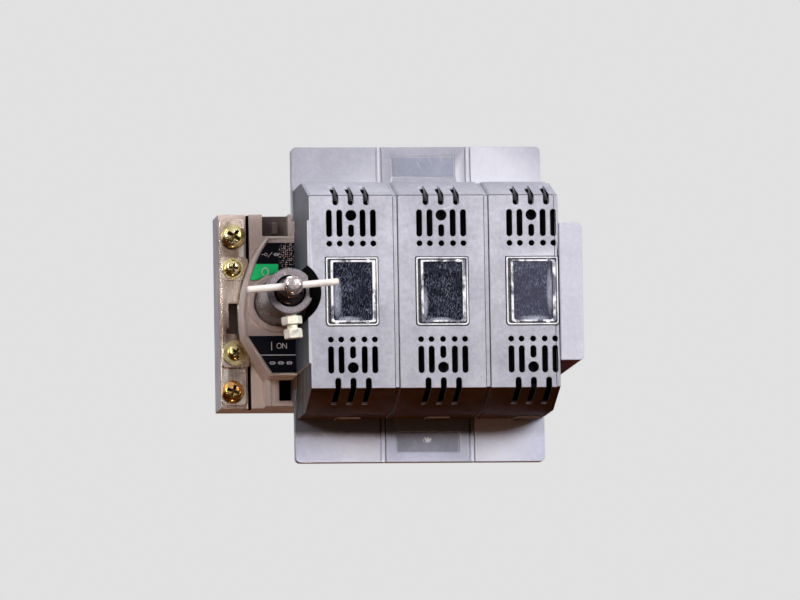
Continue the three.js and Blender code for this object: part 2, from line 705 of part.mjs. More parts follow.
// A bevel gear about +Y with its cone point at the origin, cut with straight tooth gaps.
function bevelGear(hubEnd) {
  const cone = bar('y', GEAR.inner - GAP, GEAR.inner, GEAR.outer, {}, 18, GEAR.outer - GAP);
  const hub = bar('y', GEAR.hubR, GEAR.outer - 0.5, hubEnd, {}, 12);
  let gear = join(cone, hub);
  for (let i = 0; i < GEAR.teeth; i += 1) {
    const gap = block(-0.55, 0.55, GEAR.inner - 1, GEAR.outer - 0.8, GEAR.inner - 1.2, GEAR.outer + 2);
    gear = gear.subtract(gap.rotate([0, (360 / GEAR.teeth) * i, 0]));
  }
  return cut(gear, bar('y', GEAR.bore, GEAR.inner - 1, hubEnd + 1, {}, 12));
}

// ---------------------------------------------------------------- operating shaft
const shaftGroup = new THREE.Group();
shaftGroup.position.set(SHAFT_X, 0, 0);
shaftGroup.rotation.y = -SHAFT_TILT;
model.add(shaftGroup);

const SHOULDER_Y = -42;
const CRANK_Y = -46;                  // front of the crank arm
const RING_LENGTH = 15;
const FLAT = { x: 9.3, z: -4.2 };      // flat on the side of the clamp ring, and its lower end
const BOLT_Y = COLLAR_FRONT + 6;
const BOLT = { r: 2.4, headTop: -18.2, headEnd: -22.8 };
const NUT = { top: -12.1, end: -16 };
const CRANK = { y: CRANK_Y, t: 3, reach: 11.4, pegZ: -9.6, cupR: 9 };

function quarterRound(steps, point) {
  return Array.from({ length: steps + 1 }, (_, i) => point((i / steps) * Math.PI / 2));
}

// A thin neck for the cross pin, a plain length up to the shoulder, and a journal in the base.
function operatingShaft() {
  const r = SHAFT_R;
  const { tip, round } = NECK;
  const shaft = turned([
    ...quarterRound(4, (a) => [r * Math.sin(a), COLLAR_FRONT - SHOULDER_DOME * Math.cos(a)]),
    [r, SHOULDER_Y],
    [JOURNAL_R, SHOULDER_Y],
    [JOURNAL_R, -8],
    [0, -8],
  ], 0, 0, 20);
  const neck = turned([
    [0, tip],
    ...quarterRound(3, (a) => [NECK.r - round * (1 - Math.sin(a)), tip + round * (1 - Math.cos(a))]),
    [NECK.r, COLLAR_FRONT],
    [0, COLLAR_FRONT],
  ], 0, PIN_RISE, 20);
  const pinWay = bar('x', PIN_R + GAP, -r - 1, r + 1, { y: PIN_Y, z: PIN_RISE }, 12);
  return cut(join(shaft, neck), pinWay);
}

// The coupling: a clamp ring in front and a longer sleeve that turns in the bush.
function shaftCollar() {
  const step = COLLAR_FRONT + RING_LENGTH;
  const rear = LABEL_Y + 5;
  return cut(
    join(bar('y', COLLAR_R, COLLAR_FRONT, step, {}, 24), bar('y', SLEEVE_R, step - 1, rear, {}, 24)),
    bar('y', SHAFT_R + GAP, COLLAR_FRONT - 1, rear + 1, {}, 24),
    bar('y', SHAFT_R + 0.8, COLLAR_FRONT - 1, step, {}, 24),
    block(FLAT.x, COLLAR_R + 1, COLLAR_FRONT - 1, step, FLAT.z, COLLAR_R),
    bar('z', BOLT.r + 0.4, -COLLAR_R - 1, 0, { y: BOLT_Y }, 12),
  );
}

function clampBolt() {
  const at = { y: BOLT_Y };
  return join(
    bar('z', BOLT.r, BOLT.headTop - 1, -SHAFT_R - GAP, at, 12),
    bar('z', HEX_R, BOLT.headEnd, BOLT.headTop, at, 6),
  );
}

function clampNut() {
  const at = { y: BOLT_Y };
  return cut(
    bar('z', HEX_R * 1.12, NUT.end, NUT.top, at, 6),
    bar('z', BOLT.r + GAP, NUT.end - 1, NUT.top + 1, at, 12),
  );
}

// The drive gear, with the cup that takes the shaft's shoulder and the spring's crank arm.
function driveGear() {
  const shoulder = SHOULDER_Y + GAP;
  const crank = join(
    bar('y', CRANK.cupR, CRANK.y, shoulder + 2.5),
    block(-2.5, 2.5, CRANK.y, CRANK.y + CRANK.t, -CRANK.reach, 0),
    bar('y', 1.5, CRANK.y - 4, CRANK.y + 1, { z: CRANK.pegZ }, 10),
  );
  const seat = bar('y', SHAFT_R + GAP, CRANK.y - 1, shoulder);
  const bore = bar('y', GEAR.bore, CRANK.y, ROTOR_Y, {}, 12);
  const gear = bevelGear(ROTOR_Y - shoulder - 2).mirror([0, 1, 0]).translate([0, ROTOR_Y, 0]);
  return cut(crank, seat, bore).add(gear);
}

place('operating_shaft', operatingShaft(), steel, shaftGroup);
place('shaft_collar', shaftCollar(), castSteel, shaftGroup);
const crossPin = bar('x', PIN_R, -PIN_HALF, PIN_HALF, { y: PIN_Y, z: PIN_RISE }, 16);
place('cross_pin', crossPin, steel, shaftGroup);
place('clamp_bolt', clampBolt(), yellowZinc, shaftGroup);
place('clamp_nut', clampNut(), yellowZinc, shaftGroup);
place('drive_gear', driveGear(), steel, shaftGroup);

// ---------------------------------------------------------------- rotor
const rotorGroup = new THREE.Group();
rotorGroup.position.set(0, ROTOR_Y, 0);
model.add(rotorGroup);

const ROTOR_LEFT = -61;
const bladeX = (pole, s) => pole + s * (TONGUE_T / 2 + GAP + BLADE_T / 2);

// A bridging contact: two blades that pass on either side of the fixed tongues.
function movingContact(pole) {
  const w = BLADE_W / 2;
  const t = BLADE_T / 2;
  const blades = SIDES.map((s) =>
    block(bladeX(pole, s) - t, bladeX(pole, s) + t, -BLADE_HALF, BLADE_HALF, -w, w));
  const spacer = block(bladeX(pole, -1), bladeX(pole, 1), -3, 3, -w, w);
  return join(...blades, spacer);
}

function rotor() {
  const r = ROTOR_R;
  const barrel = bar('x', r, ROTOR_LEFT, RIGHT_EDGE - 0.2);
  const spigotLeft = bar('x', JOURNAL_R, SHAFT_X + 5.2, ROTOR_LEFT + 1, {}, 12);
  const spigotRight = bar('x', 4, RIGHT_EDGE - 1, END_X - END_WALL - 1.5, {}, 16);
  const t = BLADE_T / 2 + GAP;
  const w = BLADE_W / 2 + GAP;
  const bladeWays = POLES.map((pole) =>
    block(bladeX(pole, -1) - t, bladeX(pole, 1) + t, -r - 1, r + 1, -w, w));
  const gear = bevelGear(ROTOR_LEFT - SHAFT_X + 0.5).rotate([0, 0, -90]).translate([SHAFT_X, 0, 0]);
  return cut(join(barrel, spigotLeft, spigotRight, gear), ...bladeWays);
}

place('rotor', rotor(), rotorPlastic, rotorGroup);
POLES.forEach((pole, i) => {
  place(`moving_contact_${i + 1}`, movingContact(pole), copper, rotorGroup);
});

// ---------------------------------------------------------------- toggle spring
const SPRING = { r: 2.4, wire: 0.6, length: 13, turns: 5, low: -28 };

class Helix extends THREE.Curve {
  constructor(radius, length, turns) {
    super();
    Object.assign(this, { radius, length, turns });
  }

  getPoint(t, target = new THREE.Vector3()) {
    const a = 2 * Math.PI * this.turns * t;
    return target.set(this.radius * Math.cos(a), this.radius * Math.sin(a), this.length * t);
  }
}

function toggleSpring() {
  const section = new THREE.Shape();
  section.absarc(0, 0, SPRING.wire, 0, 2 * Math.PI, false);
  const extrudePath = new Helix(SPRING.r, SPRING.length, SPRING.turns);
  const options = { steps: 40, extrudePath, curveSegments: 2, bevelEnabled: false };
  const geometry = new THREE.ExtrudeGeometry(section, options);
  geometry.translate(SHAFT_X - 0.5, CRANK.y - 4, SPRING.low);
  return solid(geometry);
}
place('toggle_spring', toggleSpring(), steel);

export default model;
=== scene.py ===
import json
import math
import bmesh
import bpy
from mathutils import Matrix, Vector


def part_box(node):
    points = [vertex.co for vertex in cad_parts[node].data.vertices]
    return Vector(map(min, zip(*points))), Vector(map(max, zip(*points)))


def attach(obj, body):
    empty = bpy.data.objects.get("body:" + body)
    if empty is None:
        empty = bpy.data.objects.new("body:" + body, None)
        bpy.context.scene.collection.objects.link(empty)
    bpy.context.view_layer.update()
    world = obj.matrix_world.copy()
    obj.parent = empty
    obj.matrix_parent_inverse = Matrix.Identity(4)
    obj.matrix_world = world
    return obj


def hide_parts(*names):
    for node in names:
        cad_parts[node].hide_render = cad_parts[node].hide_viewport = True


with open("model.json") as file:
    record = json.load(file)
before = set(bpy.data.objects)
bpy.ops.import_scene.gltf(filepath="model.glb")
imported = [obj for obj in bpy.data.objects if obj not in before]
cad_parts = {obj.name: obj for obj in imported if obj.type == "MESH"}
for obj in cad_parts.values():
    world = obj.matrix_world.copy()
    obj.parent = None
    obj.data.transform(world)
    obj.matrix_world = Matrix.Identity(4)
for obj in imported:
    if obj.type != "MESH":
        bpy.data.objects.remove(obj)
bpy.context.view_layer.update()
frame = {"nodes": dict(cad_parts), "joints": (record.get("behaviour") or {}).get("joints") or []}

# Fused disconnect switch: studio scene and detailed pieces round the CAD frame.
# Blender works in metres; the shapes below are drawn in millimetres and scaled once.
MM = 0.001


def box_mm(node):
    """Lowest and highest corner of a CAD node, in millimetres."""
    lo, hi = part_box(node)
    return lo / MM, hi / MM


def middle_mm(node, axis):
    """Middle of a CAD node's box along an axis, in millimetres."""
    lo, hi = box_mm(node)
    return (getattr(lo, axis) + getattr(hi, axis)) / 2


# ---------------- sizes from the frame
POLES = (1, 2, 3)
SIDES = (1, -1)               # upper and lower side of the object
POLE_X = {n: middle_mm(f"fuse_link_{n}", "x") for n in POLES}
SHROUD = {n: box_mm(f"fuse_shroud_{n}") for n in POLES}
FRONT = SHROUD[2][0].y
SHROUD_REAR = SHROUD[2][1].y
SHROUD_Z = SHROUD[2][1].z
shaft_joint = next(j for j in frame["joints"] if j["name"] == "shaft_turn")
SHAFT_X = shaft_joint["pos_m"][0] / MM

# ---------------- camera
YAW = 0.1192                 # the camera stands to the left of the object
PITCH = 0.0978               # and below it, looking up
ROLL = -0.0165
DISTANCE = 6.287
LENS = 579.8
AIM = Vector((0.0, -0.116, 0.0))
OFFSET_RIGHT = -0.02062
OFFSET_UP = -0.00435


def make_camera():
    ahead = Vector((math.sin(YAW) * math.cos(PITCH), math.cos(YAW) * math.cos(PITCH), math.sin(PITCH)))
    level = Vector((math.cos(YAW), -math.sin(YAW), 0.0))
    above = level.cross(ahead)
    right = math.cos(ROLL) * level + math.sin(ROLL) * above
    up = -math.sin(ROLL) * level + math.cos(ROLL) * above
    data = bpy.data.cameras.new("camera")
    data.lens = LENS
    data.sensor_width = 36
    data.clip_end = 40
    camera = bpy.data.objects.new("camera", data)
    place = AIM + OFFSET_RIGHT * right + OFFSET_UP * up - DISTANCE * ahead
    turn = Matrix((right, up, -ahead)).transposed().to_4x4()
    camera.matrix_world = Matrix.Translation(place) @ turn
    bpy.context.scene.collection.objects.link(camera)
    bpy.context.scene.camera = camera


# ---------------- node helpers
def add(tree, kind, inputs=None, **settings):
    """A shader node with its settings, and its inputs as values or links by name or number."""
    node = tree.nodes.new("ShaderNode" + kind)
    for key, value in settings.items():
        setattr(node, key, value)
    for key, value in (inputs or {}).items():
        socket = node.inputs[key]
        if isinstance(value, bpy.types.NodeSocket):
            tree.links.new(value, socket)
        else:
            socket.default_value = value
    return node


def coords(tree, stretch=(1, 1, 1)):
    """The piece's own place in millimetres, stretched along the axes."""
    place = add(tree, "TexCoord").outputs["Object"]
    scale = [s / MM for s in stretch]
    return add(tree, "Mapping", {"Vector": place, "Scale": scale}).outputs["Vector"]


def noise(tree, size, stretch=(1, 1, 1), detail=3.0, rough=0.5, distortion=0.0):
    """Noise from 0 to 1 with features of about the given size in millimetres."""
    inputs = {"Vector": coords(tree, stretch), "Scale": 1 / size, "Detail": detail,
              "Roughness": rough, "Distortion": distortion}
    return add(tree, "TexNoise", inputs).outputs["Fac"]


def remap(tree, value, low, high, to_low=0.0, to_high=1.0):
    inputs = {"Value": value, "From Min": low, "From Max": high, "To Min": to_low, "To Max": to_high}
    return add(tree, "MapRange", inputs, clamp=True).outputs["Result"]


def maths(tree, operation, a, b=0.0):
    return add(tree, "Math", {0: a, 1: b}, operation=operation).outputs[0]


def blend(tree, factor, a, b, mode="MIX"):
    node = add(tree, "Mix", data_type="RGBA", blend_type=mode)
    for key, value in ((0, factor), (6, a), (7, b)):
        if isinstance(value, bpy.types.NodeSocket):
            tree.links.new(value, node.inputs[key])
        else:
            node.inputs[key].default_value = value
    return node.outputs[2]


def linear(red, green, blue):
    """A colour given as 0..255 display values, as the linear value that shaders use."""
    def one(c):
        c = c / 255
        return c / 12.92 if c <= 0.04045 else ((c + 0.055) / 1.055) ** 2.4
    return (one(red), one(green), one(blue), 1.0)


def start(name, **sockets):
    material = bpy.data.materials.new(name)
    material.use_nodes = True
    tree = material.node_tree
    shader = tree.nodes["Principled BSDF"]
    for key, value in sockets.items():
        shader.inputs[key.replace("_", " ")].default_value = value
    return material, tree, shader


def bump(tree, shader, height, depth):
    """Relief of the given depth in millimetres on the shader."""
    inputs = {"Height": height, "Distance": depth * MM, "Strength": 1.0}
    tree.links.new(add(tree, "Bump", inputs).outputs["Normal"], shader.inputs["Normal"])


def surface(tree, shader, colour, roughness, height, depth):
    """Wires colour, roughness and relief to the shader."""
    tree.links.new(colour, shader.inputs["Base Color"])
    tree.links.new(roughness, shader.inputs["Roughness"])
    bump(tree, shader, height, depth)


def two_tone(tree, value, low, high, shade, tone):
    """A colour that runs from shade to tone as a value rises from low to high."""
    return blend(tree, remap(tree, value, low, high), linear(*shade), linear(*tone))


def repaint(material, factor, tone):
    """Lays a tone over the colour of a finished material, as strongly as the factor says."""
    tree = material.node_tree
    socket = tree.nodes["Principled BSDF"].inputs["Base Color"]
    tree.links.new(blend(tree, factor, socket.links[0].from_socket, linear(*tone)), socket)
    return material


def strokes(tree, size, length, turn, threshold, detail=1.0, fade=0.05):
    """Thin random marks, mostly upright, of the given width and length in millimetres."""
    place = add(tree, "TexCoord").outputs["Object"]
    turned = add(tree, "Mapping", {"Vector": place, "Rotation": (0.0, turn, 0.0)}).outputs["Vector"]
    scale = (1 / (size * MM), 1 / (size * MM), 1 / (length * MM))
    laid = add(tree, "Mapping", {"Vector": turned, "Scale": scale}).outputs["Vector"]
    value = add(tree, "TexNoise", {"Vector": laid, "Scale": 1.0, "Detail": detail}).outputs["Fac"]
    return remap(tree, value, threshold, threshold + fade)


def scratches(tree, size, turn):
    """Long thin scratches, twenty times as long as they are wide."""
    return strokes(tree, size, size * 20, turn, 0.66, detail=2.0, fade=0.06)


def edge_wear_and_highlight(tree):
    """1 on edges that stand out, 0 on flats; it lightens edges for rubbed wear and as painted highlight."""
    return remap(tree, add(tree, "NewGeometry").outputs["Pointiness"], 0.53, 0.62)


def tint(tree, colour, value, low, high, amount):
    """The colour made darker and lighter by up to the given amount, following a value."""
    level = remap(tree, value, low, high, 1 - amount, 1 + amount)
    grey = add(tree, "CombineColor", {0: level, 1: level, 2: level}).outputs[0]
    return blend(tree, 1.0, colour, grey, "MULTIPLY")


def patch(tree, x, z, reach_x, reach_z, soft=0.35):
    """1 inside an oval on the front of the object, fading to 0 at its rim."""
    place = add(tree, "SeparateXYZ", {0: coords(tree)})
    squares = []
    for axis, centre, reach in ((0, x, reach_x), (2, z, reach_z)):
        share = maths(tree, "DIVIDE", maths(tree, "SUBTRACT", place.outputs[axis], centre), reach)
        squares.append(maths(tree, "MULTIPLY", share, share))
    away = maths(tree, "ADD", *squares)
    return remap(tree, away, soft, 1.1, 1.0, 0.0)


# ---------------- plastics
def moulded(name, tone, shade, rough, grain=0.7, speck=0.06, wear=(235, 235, 240), mottle=0.06, gloss=0.5):
    """Satin moulded plastic: cloudy tone, blotches, fine grain, faint scuffs and paler edges from rubbed wear
    and painted highlight.
    """
    material, tree, shader = start(name, IOR=1.46)
    shader.inputs["Specular IOR Level"].default_value = gloss
    cloud = noise(tree, 22, detail=4, rough=0.6)
    colour = two_tone(tree, cloud, 0.35, 0.68, shade, tone)
    colour = tint(tree, colour, noise(tree, 2.4, detail=3, rough=0.65), 0.32, 0.68, mottle)
    fine = noise(tree, grain, detail=2, rough=0.7)
    colour = tint(tree, colour, fine, 0.3, 0.72, speck)
    scuff = maths(tree, "MULTIPLY", scratches(tree, 0.5, 0.5), 0.22)
    colour = blend(tree, scuff, colour, linear(*wear))
    colour = blend(tree, maths(tree, "MULTIPLY", edge_wear_and_highlight(tree), 0.45), colour, linear(*wear))
    smear = noise(tree, 9, stretch=(1, 1, 0.4), detail=3)
    surface(tree, shader, colour, remap(tree, smear, 0.3, 0.7, rough - 0.09, rough + 0.09), fine, 0.02)
    return material


def painted_shade_by_height(material, depth, z0, z1, tone=(30, 24, 22)):
    """Paints shade into a finished material, darker from one height to another: a painted shadow below the
    shrouds, and a painted falloff of the light toward the bottom.
    """
    tree = material.node_tree
    height = add(tree, "SeparateXYZ", {0: coords(tree)}).outputs[2]
    ragged = maths(tree, "ADD", height, remap(tree, noise(tree, 3, detail=3), 0.3, 0.7, -0.4, 0.4))
    return repaint(material, remap(tree, ragged, z0, z1, depth, 0.0), tone)


def lined(material, z, half_width):
    """A thin line of painted shade across the front of a finished material at one height."""
    tree = material.node_tree
    height = add(tree, "SeparateXYZ", {0: coords(tree)}).outputs[2]
    away = maths(tree, "ABSOLUTE", maths(tree, "SUBTRACT", height, z))
    return repaint(material, remap(tree, away, half_width, half_width + 0.15, 0.85, 0.0), (46, 46, 54))


def scuffed(material, x, z, reach_x, reach_z):
    """Adds a small patch of white scratches to a finished material."""
    tree = material.node_tree
    marks = maths(tree, "MAXIMUM", strokes(tree, 0.5, 4, 0.35, 0.5), strokes(tree, 0.5, 4, -0.5, 0.5))
    inside = maths(tree, "MULTIPLY", patch(tree, x, z, reach_x, reach_z), marks)
    return repaint(material, inside, (244, 244, 250))


def dark_wall(name, tone, shade):
    """A moulded side wall with upright draw marks, in a dark tone that is painted shade."""
    material, tree, shader = start(name, IOR=1.46)
    streak = noise(tree, 1.6, stretch=(0.05, 0.5, 0.03), detail=4)
    colour = two_tone(tree, streak, 0.35, 0.65, shade, tone)
    surface(tree, shader, colour, remap(tree, streak, 0.3, 0.7, 0.42, 0.6), noise(tree, 0.6), 0.015)
    return material


def printed(name, tone, shade, gloss=0.25):
    """Ink on film: nearly even, with dust and rubbed spots."""
    material, tree, shader = start(name, IOR=1.5)
    shader.inputs["Specular IOR Level"].default_value = gloss
    dust = noise(tree, 0.5, detail=4, rough=0.8)
    colour = two_tone(tree, dust, 0.45, 0.8, tone, shade)
    surface(tree, shader, colour, remap(tree, noise(tree, 4), 0.3, 0.7, 0.3, 0.5), noise(tree, 0.9), 0.008)
    return material


def worn_film():
    """Black label film with a patch near the shroud where the print is worn to rows of pale dots."""
    material, tree, shader = start("worn_film", IOR=1.5)
    shader.inputs["Specular IOR Level"].default_value = 0.1
    inside = patch(tree, x=-69.6, z=24.0, reach_x=4.6, reach_z=7.2)
    cells = add(tree, "TexVoronoi", {"Vector": coords(tree), "Scale": 1.05, "Randomness": 0.45})
    dot = remap(tree, cells.outputs["Distance"], 0.26, 0.36, 1.0, 0.0)
    chip = maths(tree, "MULTIPLY", dot, remap(tree, inside, 0.1, 0.5))
    dust = remap(tree, noise(tree, 0.5, detail=4, rough=0.8), 0.55, 0.9)
    film = blend(tree, dust, linear(7, 7, 18), linear(32, 32, 50))
    pale = two_tone(tree, noise(tree, 1.3), 0.4, 0.6, (250, 240, 238), (196, 140, 132))
    surface(tree, shader, blend(tree, chip, film, pale), remap(tree, chip, 0, 1, 0.4, 0.7), chip, 0.05)
    return material


def frosted(name, tone, shade, cut_low, cut_high, rough=0.22):
    """Worn clear moulding seen edge on: painted highlight where it gathers light, dull in stretches."""
    material, tree, shader = start(name, IOR=1.49, Coat_Weight=0.3, Coat_Roughness=0.1)
    stretchy = noise(tree, 5, stretch=(1, 1, 0.6), detail=3, rough=0.6)
    colour = two_tone(tree, stretchy, cut_low, cut_high, shade, tone)
    colour = tint(tree, colour, noise(tree, 0.8, detail=3), 0.3, 0.7, 0.12)
    worn = remap(tree, noise(tree, 1.2, detail=4), 0.35, 0.75, rough - 0.1, rough + 0.14)
    surface(tree, shader, colour, worn, noise(tree, 1.5), 0.02)
    return material


def dark_pane(name, smudge_and_glare_spots, veil=0.0):
    """The dark pane under a window: glossy navy, dense specks and short marks, and hazy spots of rubbed
    smudge with painted reflection on them.
    """
    material, tree, shader = start(name, IOR=1.52)
    shader.inputs["Specular IOR Level"].default_value = 0.1
    cloud = noise(tree, 5, detail=5, rough=0.7, distortion=0.5)
    base = two_tone(tree, cloud, 0.38, 0.66, (3, 4, 15), (14, 17, 38))
    base = blend(tree, veil, base, linear(112, 112, 138))
    dots = remap(tree, noise(tree, 0.36, detail=2, rough=0.9), 0.6, 0.7)
    marks = maths(tree, "MAXIMUM", strokes(tree, 0.22, 1.8, 0.12, 0.6), strokes(tree, 0.2, 1.2, -0.4, 0.62))
    marks = maths(tree, "MAXIMUM", maths(tree, "MULTIPLY", dots, 0.3), marks)
    patchy = maths(tree, "MULTIPLY", marks, remap(tree, noise(tree, 6, detail=3), 0.36, 0.62, 0.08, 0.42))
    colour = blend(tree, patchy, base, linear(176, 182, 210))
    smudge_and_glare = None
    for place in smudge_and_glare_spots:
        one = patch(tree, *place, soft=0.0)
        smudge_and_glare = one if smudge_and_glare is None else maths(tree, "MAXIMUM", smudge_and_glare, one)
    ragged = noise(tree, 0.7, stretch=(1, 1, 0.35), detail=5, rough=0.85, distortion=0.6)
    smudge_and_glare_mix = remap(tree, maths(tree, "MULTIPLY", smudge_and_glare, ragged), 0.22, 0.7, 0.0, 0.8)
    colour = blend(tree, smudge_and_glare_mix, colour, linear(206, 208, 226))
    surface(tree, shader, colour, remap(tree, cloud, 0.3, 0.75, 0.1, 0.34), noise(tree, 5, detail=3), 0.04)
    return material


# ---------------- metals and ceramic
def metal(name, tone, shade, rough, size, stretch=(1, 1, 1), wear=(250, 248, 240), scuff=0.25, metallic=1.0):
    """Plated or turned metal: drifting tint, brushed roughness, bright edges from rubbed wear and painted
    highlight. On the zinc plates the drift runs wide, a painted reflection.
    """
    material, tree, shader = start(name, Metallic=metallic)
    drift = noise(tree, size, stretch=stretch, detail=3, rough=0.5)
    colour = two_tone(tree, drift, 0.36, 0.62, shade, tone)
    colour = blend(tree, maths(tree, "MULTIPLY", scratches(tree, 0.4, 1.2), scuff), colour, linear(*wear))
    colour = blend(tree, maths(tree, "MULTIPLY", edge_wear_and_highlight(tree), 0.6), colour, linear(*wear))
    grain = noise(tree, 0.8, stretch=stretch, detail=3)
    surface(tree, shader, colour, remap(tree, grain, 0.3, 0.7, rough - 0.06, rough + 0.1), grain, 0.004)
    return material


def cast(name, tone, shade, rough, metallic, relief=0.06):
    """Cast and faced steel: grainy, with dark pores."""
    material, tree, shader = start(name, Metallic=metallic)
    grain = noise(tree, 0.7, detail=4, rough=0.75)
    colour = two_tone(tree, grain, 0.35, 0.6, shade, tone)
    # Pale edges: rubbed wear and painted highlight.
    colour = blend(tree, maths(tree, "MULTIPLY", edge_wear_and_highlight(tree), 0.6), colour, linear(206, 198, 196))
    uneven = remap(tree, noise(tree, 2.5, detail=3), 0.3, 0.7, rough - 0.1, rough + 0.1)
    surface(tree, shader, colour, uneven, grain, relief)
    return material


def glazed():
    """A fuse's ceramic barrel: glazed off-white with faint stains."""
    material, tree, shader = start("glazed_ceramic", IOR=1.55, Coat_Weight=0.4, Coat_Roughness=0.1)
    stain = noise(tree, 8, detail=4)
    colour = two_tone(tree, stain, 0.4, 0.75, (232, 228, 218), (206, 196, 178))
    surface(tree, shader, colour, remap(tree, stain, 0.3, 0.7, 0.22, 0.4), noise(tree, 1.5), 0.02)
    return material


UNDER_SHROUDS = (-62.5, -66.0, (26, 28, 38))      # heights and tone of the shade on the lower covers
FRONT_EDGE = (47.15, 0.16)                        # height and half width of the painted shade line below the upper slope
SCUFF = {"x": -0.6, "z": -67.0, "reach_x": 2.4, "reach_z": 1.6}
GREY = moulded("shroud_grey", (194, 194, 206), (168, 168, 181), 0.5, speck=0.08, mottle=0.1)
# Painted shade: the shroud grey is painted darker toward the bottom, for the light's falloff.
GREY = lined(painted_shade_by_height(GREY, 0.22, -52.0, 30.0), *FRONT_EDGE)
# Lit and shaded copies of one cover grey: the upper covers are painted darker than the lower ones, and the
# right-hand covers are painted lighter, for how the light falls.
COVER = moulded("cover_grey", (164, 163, 175), (152, 151, 162), 0.5, grain=0.9, speck=0.05, gloss=0.2)
COVER_RIGHT_LIT = moulded("right_cover_grey", (182, 181, 193), (168, 167, 179), 0.5, grain=0.9, speck=0.05,
                      gloss=0.2)
COVER_LOW = moulded("lower_cover_grey", (198, 201, 224), (182, 185, 207), 0.5, grain=0.5, speck=0.12)
# Painted shadow: the lower covers darken just below the shrouds, where the shrouds' shadow falls.
COVER_LOW = painted_shade_by_height(COVER_LOW, 0.76, *UNDER_SHROUDS)
COVER_LOW_RIGHT_LIT = moulded("lower_right_cover_grey", (204, 207, 231), (190, 193, 216), 0.5, grain=0.5,
                          speck=0.1)
# Painted shadow below the shrouds, weaker on the right-hand lower cover.
COVER_LOW_RIGHT_LIT = painted_shade_by_height(COVER_LOW_RIGHT_LIT, 0.14, *UNDER_SHROUDS)
END = moulded("end_grey", (206, 204, 217), (196, 195, 208), 0.5)
# Painted shade: the end housing's underside is painted red-brown for the warm shade below it.
END_LOW = moulded("end_underside", (140, 42, 12), (108, 30, 8), 0.5, wear=(160, 70, 40), gloss=0.05)
BODY = moulded("body_grey", (158, 158, 172), (140, 141, 155), 0.58)
# Painted shade: the first shroud's left wall gets dark tones, upper part here and lower part below.
SIDE = dark_wall("shroud_side", (72, 77, 91), (52, 56, 68))
SIDE_LOW = moulded("shroud_side_low", (50, 44, 44), (38, 33, 32), 0.5, wear=(96, 88, 86), gloss=0.2)
# Painted shade: the shrouds' lower slopes are painted dark brown for the shade and warm dark below them.
SLOPE_LOW = moulded("shroud_underside", (82, 48, 8), (60, 34, 5), 0.5, wear=(100, 64, 34), gloss=0.05)
# Painted shade: near-black for the shade in hollows, vents, openings and gaps.
VOID = moulded("shaded_hollow", (9, 8, 9), (5, 5, 6), 0.7, wear=(20, 18, 18), gloss=0.15)
PANEL = moulded("label_panel", (136, 139, 156), (118, 121, 138), 0.4)
PANEL_WORN = moulded("label_panel_worn", (144, 146, 163), (120, 121, 137), 0.4, wear=(240, 240, 246))
PANEL_WORN = scuffed(PANEL_WORN, **SCUFF)
BEIGE = moulded("taupe_plastic", (216, 196, 188), (192, 173, 166), 0.46, wear=(240, 228, 218))
# Painted shade: darker copies of the case colour for its left face and its recess.
CASE_SIDE = moulded("case_side", (136, 128, 134), (121, 114, 120), 0.46, wear=(180, 174, 180))
CASE_DEEP = moulded("case_recess", (120, 104, 98), (92, 78, 73), 0.5, wear=(150, 134, 126))
# Painted highlight: near white, for light caught by the slot walls and the tab's front.
SLOT_WALL = moulded("slot_wall", (244, 244, 250), (222, 222, 232), 0.45)
# Painted shade: the sleeve is a darker copy of the collar's steel, for the shade it is in.
SLEEVE = cast("sleeve_steel", (116, 100, 97), (80, 69, 67), 0.3, 0.7, relief=0.02)
ROTOR = moulded("rotor_black", (44, 44, 48), (30, 30, 34), 0.5, wear=(90, 90, 94))
FILM = worn_film()
BLACK = printed("black_print", (5, 5, 15), (22, 22, 36), gloss=0.1)
GREEN = printed("green_print", (14, 226, 124), (60, 232, 154))
WHITE = printed("white_print", (236, 236, 236), (206, 206, 210))
RIM_EDGE = frosted("window_rim", (250, 250, 254), (206, 208, 222), 0.3, 0.5)
LIP_EDGE = frosted("window_lip", (246, 246, 252), (98, 100, 116), 0.4, 0.52)
CHANNEL = frosted("window_channel", (52, 46, 48), (22, 17, 17), 0.45, 0.7, rough=0.3)
# The listed spots on each pane are smudges with painted reflections.
PANES = {
    1: dark_pane("dark_pane_1", [(-51.5, -3.0, 3.0, 14.0), (-46.0, -13.5, 8.0, 2.0)]),
    2: dark_pane("dark_pane_2", [(-8.5, -6.0, 2.2, 11.0), (-1.0, -14.0, 9.0, 1.8)]),
    3: dark_pane("dark_pane_3", [(53.0, 0.0, 2.4, 15.0), (45.0, -13.5, 10.0, 2.2)], veil=0.26),
}
# Painted reflection: the zinc plates' drift from dark to pale stands in for their reflections.
ZINC = metal("bright_zinc", (240, 224, 210), (146, 124, 110), 0.2, size=7, stretch=(1, 1, 0.35))
YELLOW = metal("yellow_chromate", (250, 236, 184), (206, 186, 124), 0.2, size=5, wear=(252, 246, 220))
# Painted shade: a darker tone for the shade inside the screws' cross recess.
CROSS = cast("cross_recess", (120, 100, 52), (62, 48, 20), 0.35, 0.8, relief=0.01)
GOLD = metal("gold_chromate", (250, 202, 126), (204, 146, 78), 0.18, size=5, wear=(255, 236, 196))
